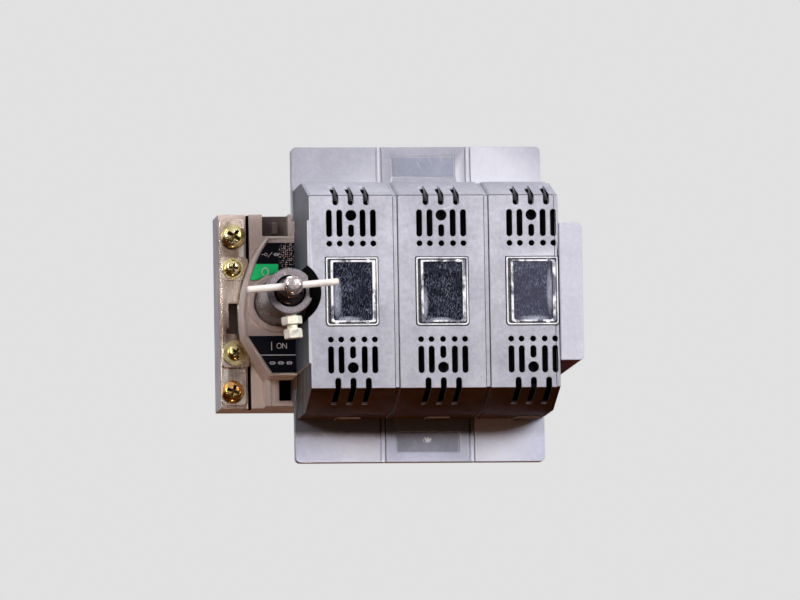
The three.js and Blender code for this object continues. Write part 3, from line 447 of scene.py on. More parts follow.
# Painted sheen: near white and barely metallic, so the colour stands in for polished metal's bright
# reflections.
PALE_ZINC = metal("pale_zinc", (255, 252, 238), (240, 232, 206), 0.25, size=5, wear=(255, 253, 242),
                  scuff=0.03, metallic=0.08)
STEEL = metal("turned_steel", (255, 252, 248), (246, 238, 232), 0.2, size=6, stretch=(0.2, 1, 1),
              scuff=0.06, metallic=0.15)
CAST = cast("cast_steel", (128, 120, 125), (84, 77, 82), 0.36, 0.6)
NECK_STEEL = cast("neck_steel", (226, 214, 212), (160, 148, 146), 0.16, 0.8, relief=0.01)
SHOULDER = cast("shaft_shoulder", (84, 78, 80), (52, 48, 50), 0.26, 0.8, relief=0.02)
COPPER = metal("rolled_copper", (206, 146, 108), (168, 108, 76), 0.34, size=8, wear=(240, 196, 160))
CERAMIC = glazed()


# ---------------- outlines, in millimetres
def arc(x, z, radius, start_deg, end_deg, steps=8):
    """Points along an arc, both ends included."""
    turns = [math.radians(start_deg + (end_deg - start_deg) * i / steps) for i in range(steps + 1)]
    return [(x + radius * math.cos(a), z + radius * math.sin(a)) for a in turns]


def circle(x, z, radius, steps=48):
    return arc(x, z, radius, 0, 360 * (steps - 1) / steps, steps - 1)


def rounded(x0, x1, z0, z1, radius, low_radius=None, steps=6):
    """A rectangle with round corners, the two low ones with a radius of their own."""
    low = radius if low_radius is None else low_radius
    return (arc(x1 - radius, z1 - radius, radius, 0, 90, steps)
            + arc(x0 + radius, z1 - radius, radius, 90, 180, steps)
            + arc(x0 + low, z0 + low, low, 180, 270, steps)
            + arc(x1 - low, z0 + low, low, 270, 360, steps))


def slot_outline(x, z0, z1, width):
    r = width / 2
    return arc(x, z1 - r, r, 0, 180, 12) + arc(x, z0 + r, r, 180, 360, 12)


# ---------------- solids, in millimetres
PLACES = {
    "x": lambda p, d: (d, p[0], p[1]),
    "y": lambda p, d: (p[0], d, p[1]),
    "z": lambda p, d: (p[0], p[1], d),
}


def as_object(bm, name="solid"):
    bmesh.ops.recalc_face_normals(bm, faces=bm.faces)
    mesh = bpy.data.meshes.new(name)
    bm.to_mesh(mesh)
    bm.free()
    obj = bpy.data.objects.new(name, mesh)
    bpy.context.scene.collection.objects.link(obj)
    return obj


def bridge(bm, first, second):
    """A wall of faces between two rings with the same number of points."""
    for i in range(len(first)):
        j = (i + 1) % len(first)
        bm.faces.new((first[i], first[j], second[j], second[i]))


def loft(outlines):
    """A closed solid through outlines with the same number of points."""
    bm = bmesh.new()
    rings = [[bm.verts.new(point) for point in outline] for outline in outlines]
    bm.faces.new(rings[0])
    bm.faces.new(rings[-1])
    for first, second in zip(rings, rings[1:]):
        bridge(bm, first, second)
    return as_object(bm)


def prism(outline, low, high, axis="y"):
    """A closed prism: the outline lies across the axis, which it fills from low to high."""
    return loft([[PLACES[axis](p, d) for p in outline] for d in (low, high)])


def block(x0, x1, y0, y1, z0, z1):
    return prism([(x0, z0), (x1, z0), (x1, z1), (x0, z1)], y0, y1)


def band(outer, inner, low, high, axis="y"):
    """A closed frame between two outlines with the same number of points."""
    bm = bmesh.new()
    loops = [[bm.verts.new(PLACES[axis](p, d)) for p in line]
             for line, d in ((outer, low), (outer, high), (inner, high), (inner, low))]
    for first, second in zip(loops, loops[1:] + loops[:1]):
        bridge(bm, first, second)
    return as_object(bm)


def lathe(profile, x=0.0, z=0.0, steps=64):
    """A body of revolution along Y. The profile lists (radius, y); a radius of 0 closes on the axis."""
    bm = bmesh.new()
    rings = []
    for radius, y in profile:
        if radius == 0:
            rings.append([bm.verts.new((x, y, z))])
        else:
            rings.append([bm.verts.new((px, y, pz)) for px, pz in circle(x, z, radius, steps)])
    closed = profile[0][0] > 0
    pairs = list(zip(rings, rings[1:])) + ([(rings[-1], rings[0])] if closed else [])
    for a, b in pairs:
        for i in range(steps):
            j = (i + 1) % steps
            corners = [a[i % len(a)], a[j % len(a)], b[j % len(b)], b[i % len(b)]]
            unique = list(dict.fromkeys(corners))
            if len(unique) > 2:
                bm.faces.new(unique)
    return as_object(bm)


def rod(radius, low, high, axis="y", x=0.0, y=0.0, z=0.0, steps=48, end=0.0):
    """A round bar along an axis, with chamfered ends."""
    centre = {"x": (y, z), "y": (x, z), "z": (x, y)}[axis]
    levels = [(low, radius - end), (low + end, radius), (high - end, radius), (high, radius - end)]
    if end == 0:
        levels = [(low, radius), (high, radius)]
    return loft([[PLACES[axis](p, d) for p in circle(*centre, r, steps)] for d, r in levels])


def span(sign, near, far):
    """A range of heights on the upper side (sign 1) or the lower side (sign -1), lowest first."""
    return sorted((sign * near, sign * far))


def bake_modifiers(obj):
    graph = bpy.context.evaluated_depsgraph_get()
    mesh = bpy.data.meshes.new_from_object(obj.evaluated_get(graph))
    old = obj.data
    obj.modifiers.clear()
    obj.data = mesh
    bpy.data.meshes.remove(old)
    return obj


def drop(obj):
    mesh = obj.data
    bpy.data.objects.remove(obj)
    bpy.data.meshes.remove(mesh)


def merge(first, *others):
    """One object with the meshes of all of them, side by side."""
    bm = bmesh.new()
    for obj in (first, *others):
        bm.from_mesh(obj.data)
    bm.to_mesh(first.data)
    bm.free()
    for obj in others:
        drop(obj)
    return first


def combine(obj, operation, others):
    for other in others:
        tool = obj.modifiers.new("boolean", "BOOLEAN")
        tool.operation = operation
        tool.solver = "EXACT"
        tool.object = other
        bake_modifiers(obj)
        drop(other)
    return obj


def cut(obj, *others):
    return combine(obj, "DIFFERENCE", others)


def join(obj, *others):
    return combine(obj, "UNION", others)


def turn_about_shaft(obj, angle):
    """Turns a piece drawn about the Y axis and sets it on the shaft axis."""
    obj.data.transform(Matrix.Translation((SHAFT_X, 0, 0)) @ Matrix.Rotation(angle, 4, "Y"))
    return obj


SHARP = math.radians(28)


def soften(obj, width, segments):
    """Rounds the sharp edges with real geometry and keeps the flats flat."""
    if width:
        tool = obj.modifiers.new("bevel", "BEVEL")
        tool.width = width
        tool.segments = segments
        tool.limit_method = "ANGLE"
        tool.angle_limit = SHARP
        tool.use_clamp_overlap = False
        tool.miter_outer = "MITER_ARC"
    for polygon in obj.data.polygons:
        polygon.use_smooth = True
    normals = obj.modifiers.new("normals", "WEIGHTED_NORMAL")
    normals.keep_sharp = True
    return bake_modifiers(obj)


def piece(obj, name, body, material, replaced=(), edge=0.3, segments=3):
    """Finishes a solid drawn in millimetres: rounds it, scales it, names it and rides it."""
    soften(obj, edge, segments)
    obj.data.transform(Matrix.Scale(MM, 4))
    obj.name = name
    obj.data.name = name
    obj.data.materials.clear()
    for one in (material if isinstance(material, (list, tuple)) else (material,)):
        obj.data.materials.append(one)
    for polygon in obj.data.polygons:
        polygon.use_smooth = True
    if replaced:
        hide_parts(*replaced)
    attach(obj, body)
    return obj


def paint(obj, index, test):
    """Gives a material slot to the faces whose centre and normal, in millimetres, pass the test."""
    for polygon in obj.data.polygons:
        if test(polygon.center / MM, polygon.normal):
            polygon.material_index = index


# ---------------- fuse shrouds
SLOPE_FRONT_Z = 47.4          # half height of the front face
SLOPE_END = -86               # depth where the slopes end
WALL = 1.8
STRIP_W = 2.2                 # overlapping lip beside each seam, set back a little
STRIP_SET = 0.8
PROUD = 1.1                   # side wall of the first shroud stands proud at mid height
PROUD_Z = 35
PROUD_REAR = -59.5
CHANNEL_R = 15.8              # round channel beside the shaft, in the first shroud
CHANNEL_WALL = 1.6
VENT_W = 2.8
VENT_COLUMNS = (-10.8, -5.7, 5.7, 10.8)
VENT_LONG = (26.8, 40.1)
VENT_SHORT = (26.8, 32.8)
VENT_BIG = {"z": 37.3, "r": 2.65}
VENT_ROW_Z = 23.5
EDGE_COLUMNS = (-7.5, 0, 7.5)
EDGE_Z = 42.3
EDGE_END = -95.6
SHADE_WEB = {"y": (-110.6, -109.6), "z": 46.0}      # sheet behind the vents, painted dark to stand for the shade inside the shroud
TAB = {"x": (-2.7, 9.3), "y": (-66.0, -54.0), "z": (-58.0, -56.0)}
SLOPE = (SHROUD_Z - SLOPE_FRONT_Z) / (SLOPE_END - FRONT)
CHAMFER = 1.1                 # left edge of each slope
THROUGH_FRONT = (FRONT - 1, FRONT + 4)        # depths of the cutters for the front wall


def slope_z(y):
    """Height of the upper slope at a depth."""
    return SLOPE_FRONT_Z + SLOPE * (y - FRONT)


def corner_cut(left):
    """A wedge along the left edge of the upper slope."""
    corners = ((left + CHAMFER + 1, 1), (left - 1, -CHAMFER - 1), (left - 1, 1))
    return loft([[(x, y, slope_z(y) + rise) for x, rise in corners] for y in (FRONT - 1, SLOPE_END + 0.5)])


def slot_rib(x):
    """The deep wall on the right of a slot in the upper slope."""
    front, foot = FRONT + 0.6, EDGE_Z - 0.5
    outline = [(front, foot), (front, SLOPE_FRONT_Z), (EDGE_END, slope_z(EDGE_END) - 0.2), (EDGE_END, foot)]
    return prism(outline, x + VENT_W / 2, x + VENT_W / 2 + 1.2, "x")


def shroud_section(inset):
    """Outline in Y and Z, drawn in by inset."""
    front = FRONT + inset * 1.2
    z_front = SLOPE_FRONT_Z - inset * 0.75
    z_rear = SHROUD_Z - inset
    slope = SLOPE_END + inset * 0.3
    rear = SHROUD_REAR + (1 if inset > 1 else 0)
    upper = [(rear, z_rear), (slope, z_rear), (front, z_front)]
    return [(y, -z) for y, z in reversed(upper)] + upper


def vent_cutters(x):
    outlines = []
    for sign in SIDES:
        outlines += [slot_outline(x + dx, *span(sign, *VENT_LONG), VENT_W) for dx in VENT_COLUMNS]
        outlines.append(slot_outline(x, *span(sign, *VENT_SHORT), VENT_W))
        outlines.append(circle(x, sign * VENT_BIG["z"], VENT_BIG["r"]))
        outlines += [circle(x + dx, sign * VENT_ROW_Z, VENT_W / 2, 28) for dx in (*VENT_COLUMNS, 0)]
    return merge(*[prism(outline, *THROUGH_FRONT) for outline in outlines])


def edge_slot(x, sign):
    """A slot that starts with a round end on the front face and runs back over the slope."""
    r = VENT_W / 2
    face = arc(x, EDGE_Z + r, r, 180, 360, 12) + [(x + r, SHROUD_Z + 2), (x - r, SHROUD_Z + 2)]
    upright = prism([(px, sign * pz) for px, pz in face], FRONT - 1, EDGE_END)
    keep_z = SLOPE_FRONT_Z - 3
    ahead, behind = FRONT + 4, EDGE_END + 1
    floor = [(ahead, EDGE_Z - 2), (ahead, keep_z), (behind, keep_z + 5.5), (behind, EDGE_Z - 2)]
    return cut(upright, prism([(y, sign * z) for y, z in floor], x - VENT_W, x + VENT_W, "x"))


def make_shroud(n):
    lo, hi = SHROUD[n]
    left, right, x = lo.x, hi.x, POLE_X[n]
    lip = right - STRIP_W
    shell = prism(shroud_section(0), left, lip, "x")
    shell = join(shell, prism(shroud_section(STRIP_SET), lip - 0.5, right, "x"))
    hollow = prism(shroud_section(WALL), left + WALL, right - WALL, "x")
    if n == 1:
        shell = join(shell, block(left - PROUD, left + 1, FRONT, PROUD_REAR, -PROUD_Z, PROUD_Z))
        along = (FRONT - 1, SHROUD_REAR + 2)
        hollow = cut(hollow, rod(CHANNEL_R + CHANNEL_WALL, *along, x=SHAFT_X, steps=72))
        shell = cut(shell, rod(CHANNEL_R, *along, x=SHAFT_X, steps=72))
    shell = cut(shell, hollow)
    # A sheet behind the vents, painted dark as the shade inside the shroud.
    web_left = max(left + WALL, SHAFT_X + CHANNEL_R + CHANNEL_WALL) - 0.2
    shell = join(shell, block(web_left, right - WALL + 0.2, *SHADE_WEB["y"], -SHADE_WEB["z"], SHADE_WEB["z"]))
    shell = join(shell, prism(rounded(x + TAB["x"][0], x + TAB["x"][1], *TAB["y"], 1.0), *TAB["z"], "z"))
    w = WINDOW_W / 2 + WINDOW_GAP
    h = WINDOW_H / 2 + WINDOW_GAP
    shell = cut(shell, prism(rounded(x - w, x + w, -h, h, 0.7, 1.8), *THROUGH_FRONT))
    shell = cut(shell, vent_cutters(x))
    slots = [edge_slot(x + dx, sign) for dx in EDGE_COLUMNS for sign in SIDES]
    shell = cut(shell, merge(*slots), corner_cut(left))
    for dx in EDGE_COLUMNS:
        shell = join(shell, slot_rib(x + dx))
    obj = piece(shell, f"shroud_shell_{n}", f"shroud_{n}",
                (GREY, SIDE, SIDE_LOW, SLOPE_LOW, VOID, SLOT_WALL), (f"fuse_shroud_{n}",), edge=0.35)
    paint_shroud(obj, n, left, right, x)


def paint_shroud(obj, n, left, right, x):
    """Painted shade on the underside, in the hollow and in the first shroud's round channel and on its left
    wall; painted highlight on the slot walls and the tab's front.
    """
    def underside(c, normal):
        return c.z < -SLOPE_FRONT_Z + 0.3 and normal.z < -0.3

    def hollow(c, normal):
        inside = c.y > FRONT + 0.3 and left + WALL - 0.3 < c.x < right - WALL + 0.3
        return inside and abs(c.z) < SLOPE_FRONT_Z - 1.2 + SLOPE * (min(c.y, SLOPE_END) - FRONT)

    def slot_wall(c, normal):
        in_slope = normal.x < -0.9 and c.z > EDGE_Z + 1 and c.y < EDGE_END + 1
        return in_slope and any(abs(c.x - x - dx - VENT_W / 2) < 0.12 for dx in EDGE_COLUMNS)

    def tab_front(c, normal):
        return c.z < -SHROUD_Z - 0.1 and normal.y < -0.8 and c.y < TAB["y"][0] + 0.5

    def left_wall(c, normal):
        return normal.x < -0.9 and c.x < left + 0.3

    def channel(c, normal):
        return abs(math.hypot(c.x - SHAFT_X, c.z) - CHANNEL_R) < 0.25 and c.y > FRONT + 0.6

    # Painted shade on the lower slope.
    paint(obj, 3, underside)
    # Painted shade on the walls of the hollow, the vents and the window opening, and on the sheet behind
    # them.
    paint(obj, 4, hollow)
    # Painted highlight on the slot walls and on the tab's front.
    paint(obj, 5, slot_wall)
    paint(obj, 5, tab_front)
    if n == 1:
        # Painted shade on the first shroud's left wall, upper and lower part.
        paint(obj, 1, lambda c, normal: left_wall(c, normal) and c.z > -PROUD_Z)
        paint(obj, 2, lambda c, normal: left_wall(c, normal) and c.z <= -PROUD_Z)
        # Painted shade in the round channel beside the shaft.
        paint(obj, 4, channel)


# ---------------- sight windows
WINDOW_W = 25.3
WINDOW_H = 33.2
WINDOW_GAP = 0.45             # clearance to the opening in the shroud
WINDOW_DEPTH = 3.6
RIM_W = 0.65                  # bright line all round, a painted highlight
LIP_OUTER = {"left": 2.2, "right": 1.05, "top": 1.3, "low": 1.5}
LIP_INNER = {"left": 3.4, "right": 2.7, "top": 2.2, "low": 2.4}
PANE_UNDER_LIP = 0.3
LUGS = ((4.6, "right", "top", 1.7), (5.0, "left", "low", 1.6), (5.2, "right", "low", 1.6))


def inside_window(x, left, right, top, low):
    w = WINDOW_W / 2
    h = WINDOW_H / 2
    return rounded(x - w + left, x + w - right, -h + low, h - top, 0.5, 1.2)


def make_window(n):
    """The clear moulding stands proud of the front: a rim, a dark channel and an inner lip round the pane."""
    x = POLE_X[n]
    w = WINDOW_W / 2
    h = WINDOW_H / 2

    def part(obj, name, material, edge, replaced=()):
        piece(obj, f"sight_{name}_{n}", f"shroud_{n}", material, replaced, edge)

    rim = inside_window(x, RIM_W, RIM_W, RIM_W, RIM_W)
    step = inside_window(x, **LIP_OUTER)
    rear = FRONT + WINDOW_DEPTH
    outer = rounded(x - w, x + w, -h, h, 0.6, 1.6)
    part(band(outer, rim, FRONT - 0.9, rear), "frame", RIM_EDGE, 0.18, (f"window_{n}",))
    part(band(rim, step, FRONT + 0.5, rear), "channel", CHANNEL, 0.1)
    lip = [band(step, inside_window(x, **LIP_INNER), FRONT - 0.75, rear)]
    for from_side, side, end, from_end in LUGS:
        lug_x = x + w - from_side if side == "right" else x - w + from_side
        lug_z = h - from_end if end == "top" else -h + from_end
        lip.append(prism(rounded(lug_x - 1, lug_x + 1, lug_z - 0.8, lug_z + 0.8, 0.5), FRONT - 1.0, rear))
    part(merge(*lip), "lip", LIP_EDGE, 0.2)
    under = {side: width - PANE_UNDER_LIP for side, width in LIP_INNER.items()}
    part(prism(inside_window(x, **under), FRONT + 0.1, rear - 0.4), "pane", PANES[n], 0.2)
    back = prism(rounded(x - w + 0.2, x + w - 0.2, -h + 0.2, h - 0.2, 0.6, 1.4), rear - 0.3, rear + 0.6)
    part(back, "backing", CHANNEL, 0.2)


# ---------------- terminal covers
COVER_R = 2.4
GROOVE_W = 0.4
GROOVE_BACK = 2.4             # seam line to the groove beside it
PANEL_X = (-16, 15.2)
PANEL_Z = (63.2, 73.4)
PANEL_DEPTH = 0.6
COVER_WALL = {"front": 1.9, "outer": 1.6, "seam": 0.8}
BODY_ROOM_Z = 73              # the cover clears the pole body up to this height


def make_cover(n, sign):
    side = "top" if sign > 0 else "bottom"
    node = f"terminal_cover_{side}_{n}"
    lo, hi = box_mm(node)
    left, right, front, rear = lo.x, hi.x, lo.y, hi.y
    inner_z, outer_z = (lo.z, hi.z) if sign > 0 else (-hi.z, -lo.z)
    outline = [(left, inner_z), (right, inner_z)]
    outline += arc(right - COVER_R, outer_z - COVER_R, COVER_R, 0, 90) if n == 3 else [(right, outer_z)]
    outline += arc(left + COVER_R, outer_z - COVER_R, COVER_R, 90, 180) if n == 1 else [(left, outer_z)]
    body_front = box_mm(f"pole_body_{n}")[0].y

    def at(x0, x1, y0, y1, z0, z1):
        return block(x0, x1, y0, y1, *span(sign, z0, z1))

    shell = prism([(x, sign * z) for x, z in outline], front, rear)
    outer, seam = COVER_WALL["outer"], COVER_WALL["seam"]
    hollow = at(left + (outer if n == 1 else seam), right - seam, front + COVER_WALL["front"], rear + 1,
                inner_z - 1, outer_z - outer)
    body_room = at(left + (outer if n == 1 else -1), right + 1, body_front - 0.3, rear + 1,
                   inner_z - 1, BODY_ROOM_Z)
    shell = cut(shell, hollow, body_room)
    if n < 3:
        groove = (right - GROOVE_BACK, right - GROOVE_BACK + GROOVE_W)
        shell = cut(shell, at(*groove, front - 1, front + 0.25, inner_z - 1, outer_z + 1))
    if n == 2:
        shell = cut(shell, at(*PANEL_X, front - 1, front + PANEL_DEPTH, *PANEL_Z))
    # The right-hand covers take the lighter copies, painted light for the light's falloff.
    skins = (COVER, COVER_RIGHT_LIT) if sign > 0 else (COVER_LOW, COVER_LOW_RIGHT_LIT)
    skin = skins[1] if n == 3 else skins[0]
    piece(shell, f"cover_{side}_{n}", "base", skin, (node,), edge=0.4)
    if n == 2:
        z = span(sign, PANEL_Z[0] + 0.5, PANEL_Z[1] - 0.5)
        outline = rounded(PANEL_X[0] + 0.5, PANEL_X[1] - 0.5, *z, 0.5)
        plate = prism(outline, front + 0.25, front + PANEL_DEPTH)
        material = PANEL if sign > 0 else PANEL_WORN
        piece(plate, f"blank_label_{side}", "base", material, edge=0.1)


# ---------------- end housing
END_WALL = 1.8
END_R = 2.5


def make_end():
    lo, hi = box_mm("end_housing")
    left, right = lo.x, hi.x
    low_corner = arc(right - END_R, lo.z + END_R, END_R, 270, 360)
    top_corner = arc(right - END_R, hi.z - END_R, END_R, 0, 90)
    shell = prism([(left, lo.z), *low_corner, *top_corner, (left, hi.z)], lo.y, 0)
    hollow = block(left - 1, right - END_WALL, lo.y + END_WALL, -3, lo.z + END_WALL, hi.z - END_WALL)
    shell = cut(shell, hollow)
    obj = piece(shell, "end_shell", "base", (END, END_LOW), ("end_housing",), 0.7, segments=4)
    # Painted shade on the underside.
    paint(obj, 1, lambda c, normal: normal.z < -0.8 and c.z < lo.z + 0.2)


# ---------------- pole bodies
MOUNT = {"x": 9.2, "z": 60, "r": 2.75}
TIE = {"y": -14, "z": 26, "r": 2.3}
ROTOR_BORE = {"y": -25, "r": 8.4}
BODY_WALL = 2
BODY_DECK = 3
OPENING_Z = 46                # the front is open from here to the end wall
CABLE_HALF_W = 7
CONTACT_LEG = {"half_w": 2, "z": (29, 35)}
REAR_POCKET = {"first": -15, "pitch": 10.5, "w": 9, "z": (8, 20), "depth": 1.6}
PAD = {"half_w": 6, "z": (58.5, 69.5), "front": -11.2, "hole_z": 64, "hole_r": 3.1}


def tie_ways(left, right):
    return [rod(TIE["r"], left, right, "x", y=TIE["y"], z=s * TIE["z"], steps=24) for s in SIDES]


def pole_shell(x, left, right, lo, hi):
    """The box of a pole with its front openings and cable entries."""
    wall = BODY_WALL
    shell = block(left, right, lo.y, 0, lo.z, hi.z)
    shell = cut(shell, block(left + wall, right - wall, lo.y + BODY_DECK, -3, lo.z + wall, hi.z - wall))
    openings = [block(left + wall, right - wall, lo.y - 1, -3.01, *span(s, OPENING_Z, hi.z - wall))
                for s in SIDES]
    shell = cut(shell, merge(*openings))
    entry = (x - CABLE_HALF_W, x + CABLE_HALF_W, lo.y - 4, -12, 2)
    entries = [prism(rounded(*entry), *span(s, hi.z - 4, hi.z + 1), "z") for s in SIDES]
    half = CONTACT_LEG["half_w"]
    legs = [prism(rounded(x - half, x + half, *span(s, *CONTACT_LEG["z"]), 0.5), lo.y - 1, lo.y + 4)
            for s in SIDES]
    return cut(shell, merge(*entries), merge(*legs))


def rear_pockets(x):
    pockets = []
    for i in range(3):
        start_x = x + REAR_POCKET["first"] + i * REAR_POCKET["pitch"]
        for s in SIDES:
            outline = rounded(start_x, start_x + REAR_POCKET["w"], *span(s, *REAR_POCKET["z"]), 1.2)
            pockets.append(prism(outline, -REAR_POCKET["depth"], 1))
    return merge(*pockets)


def make_pole_body(n):
    lo, hi = box_mm(f"pole_body_{n}")
    x = POLE_X[n]
    left, right = lo.x, hi.x
    shell = pole_shell(x, left, right, lo, hi)
    shell = cut(shell, rod(ROTOR_BORE["r"], left - 1, right + 1, "x", y=ROTOR_BORE["y"]))
    holes = [rod(MOUNT["r"], -4, 1, x=x + MOUNT["x"], z=s * MOUNT["z"], steps=32) for s in SIDES]
    shell = cut(shell, merge(*tie_ways(left - 1, right + 1)), merge(*holes), rear_pockets(x))
    for s in SIDES:
        outline = rounded(x - PAD["half_w"], x + PAD["half_w"], *span(s, *PAD["z"]), 1)
        hole = rod(PAD["hole_r"], -14, -3.5, x=x, z=s * PAD["hole_z"], steps=24)
        shell = join(shell, cut(prism(outline, PAD["front"], -2), hole))
    piece(shell, f"pole_shell_{n}", "base", BODY, (f"pole_body_{n}",), edge=0.35)


# ---------------- mechanism base
# turn of the cross in degrees, and plating
MECH_SCREWS = {1: (32, YELLOW), 2: (4, YELLOW), 3: (40, YELLOW), 4: (20, GOLD)}
SCREW_WAY_R = 2.9
CASE_RECESS = {"x": (-78, -65.2), "low": 36.8, "depth": 10}
GEAR_POCKET = {"x": -72.6, "rear": -15, "half_z": 9.6}
SLOT_WELL = {"x": (-97.5, -89.5), "z": (-14, 5), "depth": 12}
CASE_GROOVE = {"x": (-86.2, -84.8), "depth": 6}
CASE_NUB = (-72.9, -69.9, 38, 44, 1.2)
PLATE_WINDOW = {"x": (-97, -89.7), "z": (-13, 4)}
BRACKET_SLOT = (-95.5, -91.2, -10, 3, 0.7)
BRACKET_SLOT_FOOT = (-96.7, -90.3, -12, -9.2, 0.6)


def screw_place(n):
    """Place in X and Z, radius and front of a screw."""
    node = f"mech_screw_{n}"
    lo, hi = box_mm(node)
    return middle_mm(node, "x"), middle_mm(node, "z"), (hi.x - lo.x) / 2, lo.y


def screw_ways(numbers, front, rear, steps):
    """Cutters for the screws' clearance holes."""
    ways = []
    for n in numbers:
        x, z, _, _ = screw_place(n)
        ways.append(rod(SCREW_WAY_R, front, rear, x=x, z=z, steps=steps))
    return ways


def make_mechanism_base():
    lo, hi = box_mm("mechanism_base")
    left, right, front, low, top = lo.x, hi.x, lo.y, lo.z, hi.z
    body = block(left, right, front, 0, low, top)
    recess = block(*CASE_RECESS["x"], front - 1, front + CASE_RECESS["depth"], CASE_RECESS["low"], top + 1)
    half = GEAR_POCKET["half_z"]
    pocket = block(GEAR_POCKET["x"], right + 1, front - 1, GEAR_POCKET["rear"], -half, half)
    well = block(*SLOT_WELL["x"], front - 1, front + SLOT_WELL["depth"], *SLOT_WELL["z"])
    groove = block(*CASE_GROOVE["x"], front - 1, front + CASE_GROOVE["depth"], low - 1, top + 1)
    body = cut(body, merge(recess, pocket, well), groove)
    body = cut(body, rod(3.4, front - 1, -6, x=SHAFT_X, steps=40))
    body = cut(body, merge(*tie_ways(-68.5, right + 1), *screw_ways(MECH_SCREWS, front - 1, -9, 24)))
    body = join(body, prism(rounded(*CASE_NUB), front + 3.5, front + 11))
    obj = piece(body, "mechanism_case", "base", (BEIGE, CASE_SIDE, CASE_DEEP, VOID),
                ("mechanism_base",), edge=0.45)

    recess_low = CASE_RECESS["low"] - 0.3

    def within(c, limits):
        return limits[0] - 0.2 < c.x < limits[1] + 0.2

    # Painted shade on the left face, in the recess and in the groove.
    paint(obj, 1, lambda c, normal: normal.x < -0.8 and c.x < left + 0.3)
    paint(obj, 2, lambda c, normal: within(c, CASE_RECESS["x"]) and c.z > recess_low and c.y > front + 1)
    paint(obj, 3, lambda c, normal: within(c, CASE_GROOVE["x"]) and c.y > front + 0.3)


def make_plates():
    lo, hi = box_mm("side_plate")
    through = (lo.y - 1, hi.y + 1)
    plate = prism(rounded(lo.x, hi.x, lo.z, hi.z, 2.5), lo.y, hi.y)
    plate = cut(plate, block(*PLATE_WINDOW["x"], *through, *PLATE_WINDOW["z"]))
    plate = cut(plate, merge(*screw_ways(MECH_SCREWS, *through, 32)))
    piece(plate, "side_plate_sheet", "base", ZINC, ("side_plate",), edge=0.3)
    lo, hi = box_mm("bracket_plate")
    through = (lo.y - 1, hi.y + 1)
    plate = prism(rounded(lo.x, hi.x, lo.z, hi.z, 2), lo.y, hi.y)
    for slot in (BRACKET_SLOT, BRACKET_SLOT_FOOT):
        plate = cut(plate, prism(rounded(*slot), *through))
    plate = cut(plate, merge(*screw_ways((2, 3), *through, 32)))
    piece(plate, "bracket_sheet", "base", ZINC, ("bracket_plate",), edge=0.4)


def cross_cutter(x, z, top, arm, width, depth, turn):
    """A tapered cross recess."""
    bars = []
    for extra in (0, 90):
        half, small = width / 2, width / 3.2
        outline = [(-arm, top - 1), (arm, top - 1), (arm * 0.45, top + depth), (-arm * 0.45, top + depth)]
        bar = prism(outline, -half, half, "z")
        for v in bar.data.vertices:
            if v.co.y > top:
                v.co.z *= small / half
        bar.data.transform(Matrix.Rotation(math.radians(turn + extra), 4, "Y"))
        bar.data.transform(Matrix.Translation((x, 0, z)))
        bars.append(bar)
    return bars


DOME_SHARES = (0.25, 0.42, 0.55, 0.66, 0.76, 0.85, 0.92, 0.97, 1)     # of the head's radius
THREAD_R = 2.4


def make_screw(n, turn, plating):
    node = f"mech_screw_{n}"
    rear = box_mm(node)[1].y
    x, z, radius, top = screw_place(n)
    seat = top + radius * 0.7
    height = seat - top

    def dome_y(share):
        return top + height * 0.86 * (1 - math.sqrt(1 - min(1, share) ** 2.67)) ** 1.45

    profile = [(0, top)] + [(radius * share, dome_y(share)) for share in DOME_SHARES]
    profile += [(radius, seat - 0.2), (radius * 0.97, seat)]
    profile += [(THREAD_R, seat), (THREAD_R, rear - 0.5), (THREAD_R - 0.4, rear), (0, rear)]
    head = lathe(profile, x, z, 56)
    head = cut(head, *cross_cutter(x, z, top, radius * 0.68, radius * 0.3, height * 0.8, turn))
    obj = piece(head, f"pan_head_{n}", "base", (plating, CROSS), (node,), 0.12, segments=2)

    def in_recess(c, normal):
        share = math.hypot(c.x - x, c.z - z) / radius
        return share < 0.75 and dome_y(share) + 0.3 < c.y < seat

    # Painted shade inside the cross recess.
    paint(obj, 1, in_recess)


def make_washers():
    for n in (2, 3):
        node = f"mech_washer_{n}"
        lo, hi = box_mm(node)
        x, z = middle_mm(node, "x"), middle_mm(node, "z")
        r = (hi.x - lo.x) / 2
        if n == 2:
            step = lo.y + 0.5
            plate = prism(rounded(x - r + 0.4, x + r - 0.4, z - r + 0.4, z + r - 0.4, 1.8), step, hi.y)
            plate = join(plate, rod(r - 1.0, lo.y, step + 0.2, x=x, z=z, steps=56))
        else:
            plate = rod(r, lo.y, hi.y, x=x, z=z, steps=56)
        plate = cut(plate, rod(2.7, lo.y - 1, hi.y + 1, x=x, z=z, steps=32))
        obj = piece(plate, f"washer_{n}", "base", (YELLOW, ZINC), (node,), edge=0.15)
        if n == 2:
            paint(obj, 1, lambda c, normal: c.y > step - 0.02)


# ---------------- mechanism cover
ARC_X, ARC_Z, ARC_R = -25.8, -6, 66
ARC_TOP = 33.2
ARC_LOW = -16.2
KNEE = (-79, -35.6)
COLUMN_FRONT = -38
RIM = 1.3
RIM_PROUD = 0.8
BOSS_FLAT = (-95, -88.5)      # the boss round the bush is cut off here, in X
COLUMN_WINDOW = {"x": -72.1, "low": -46.2}
COLUMN_LINE = (-76.4, -76.0)
HOOD_WALL = 2.2
GEAR_ROOM = (-68, -59)
PLATE_ROOM = {"x": (-100, -85.2), "z": (-30, 27)}
BEHIND_HOOD = (-35.5, -35.1)  # depths from which the gear and the plates have room


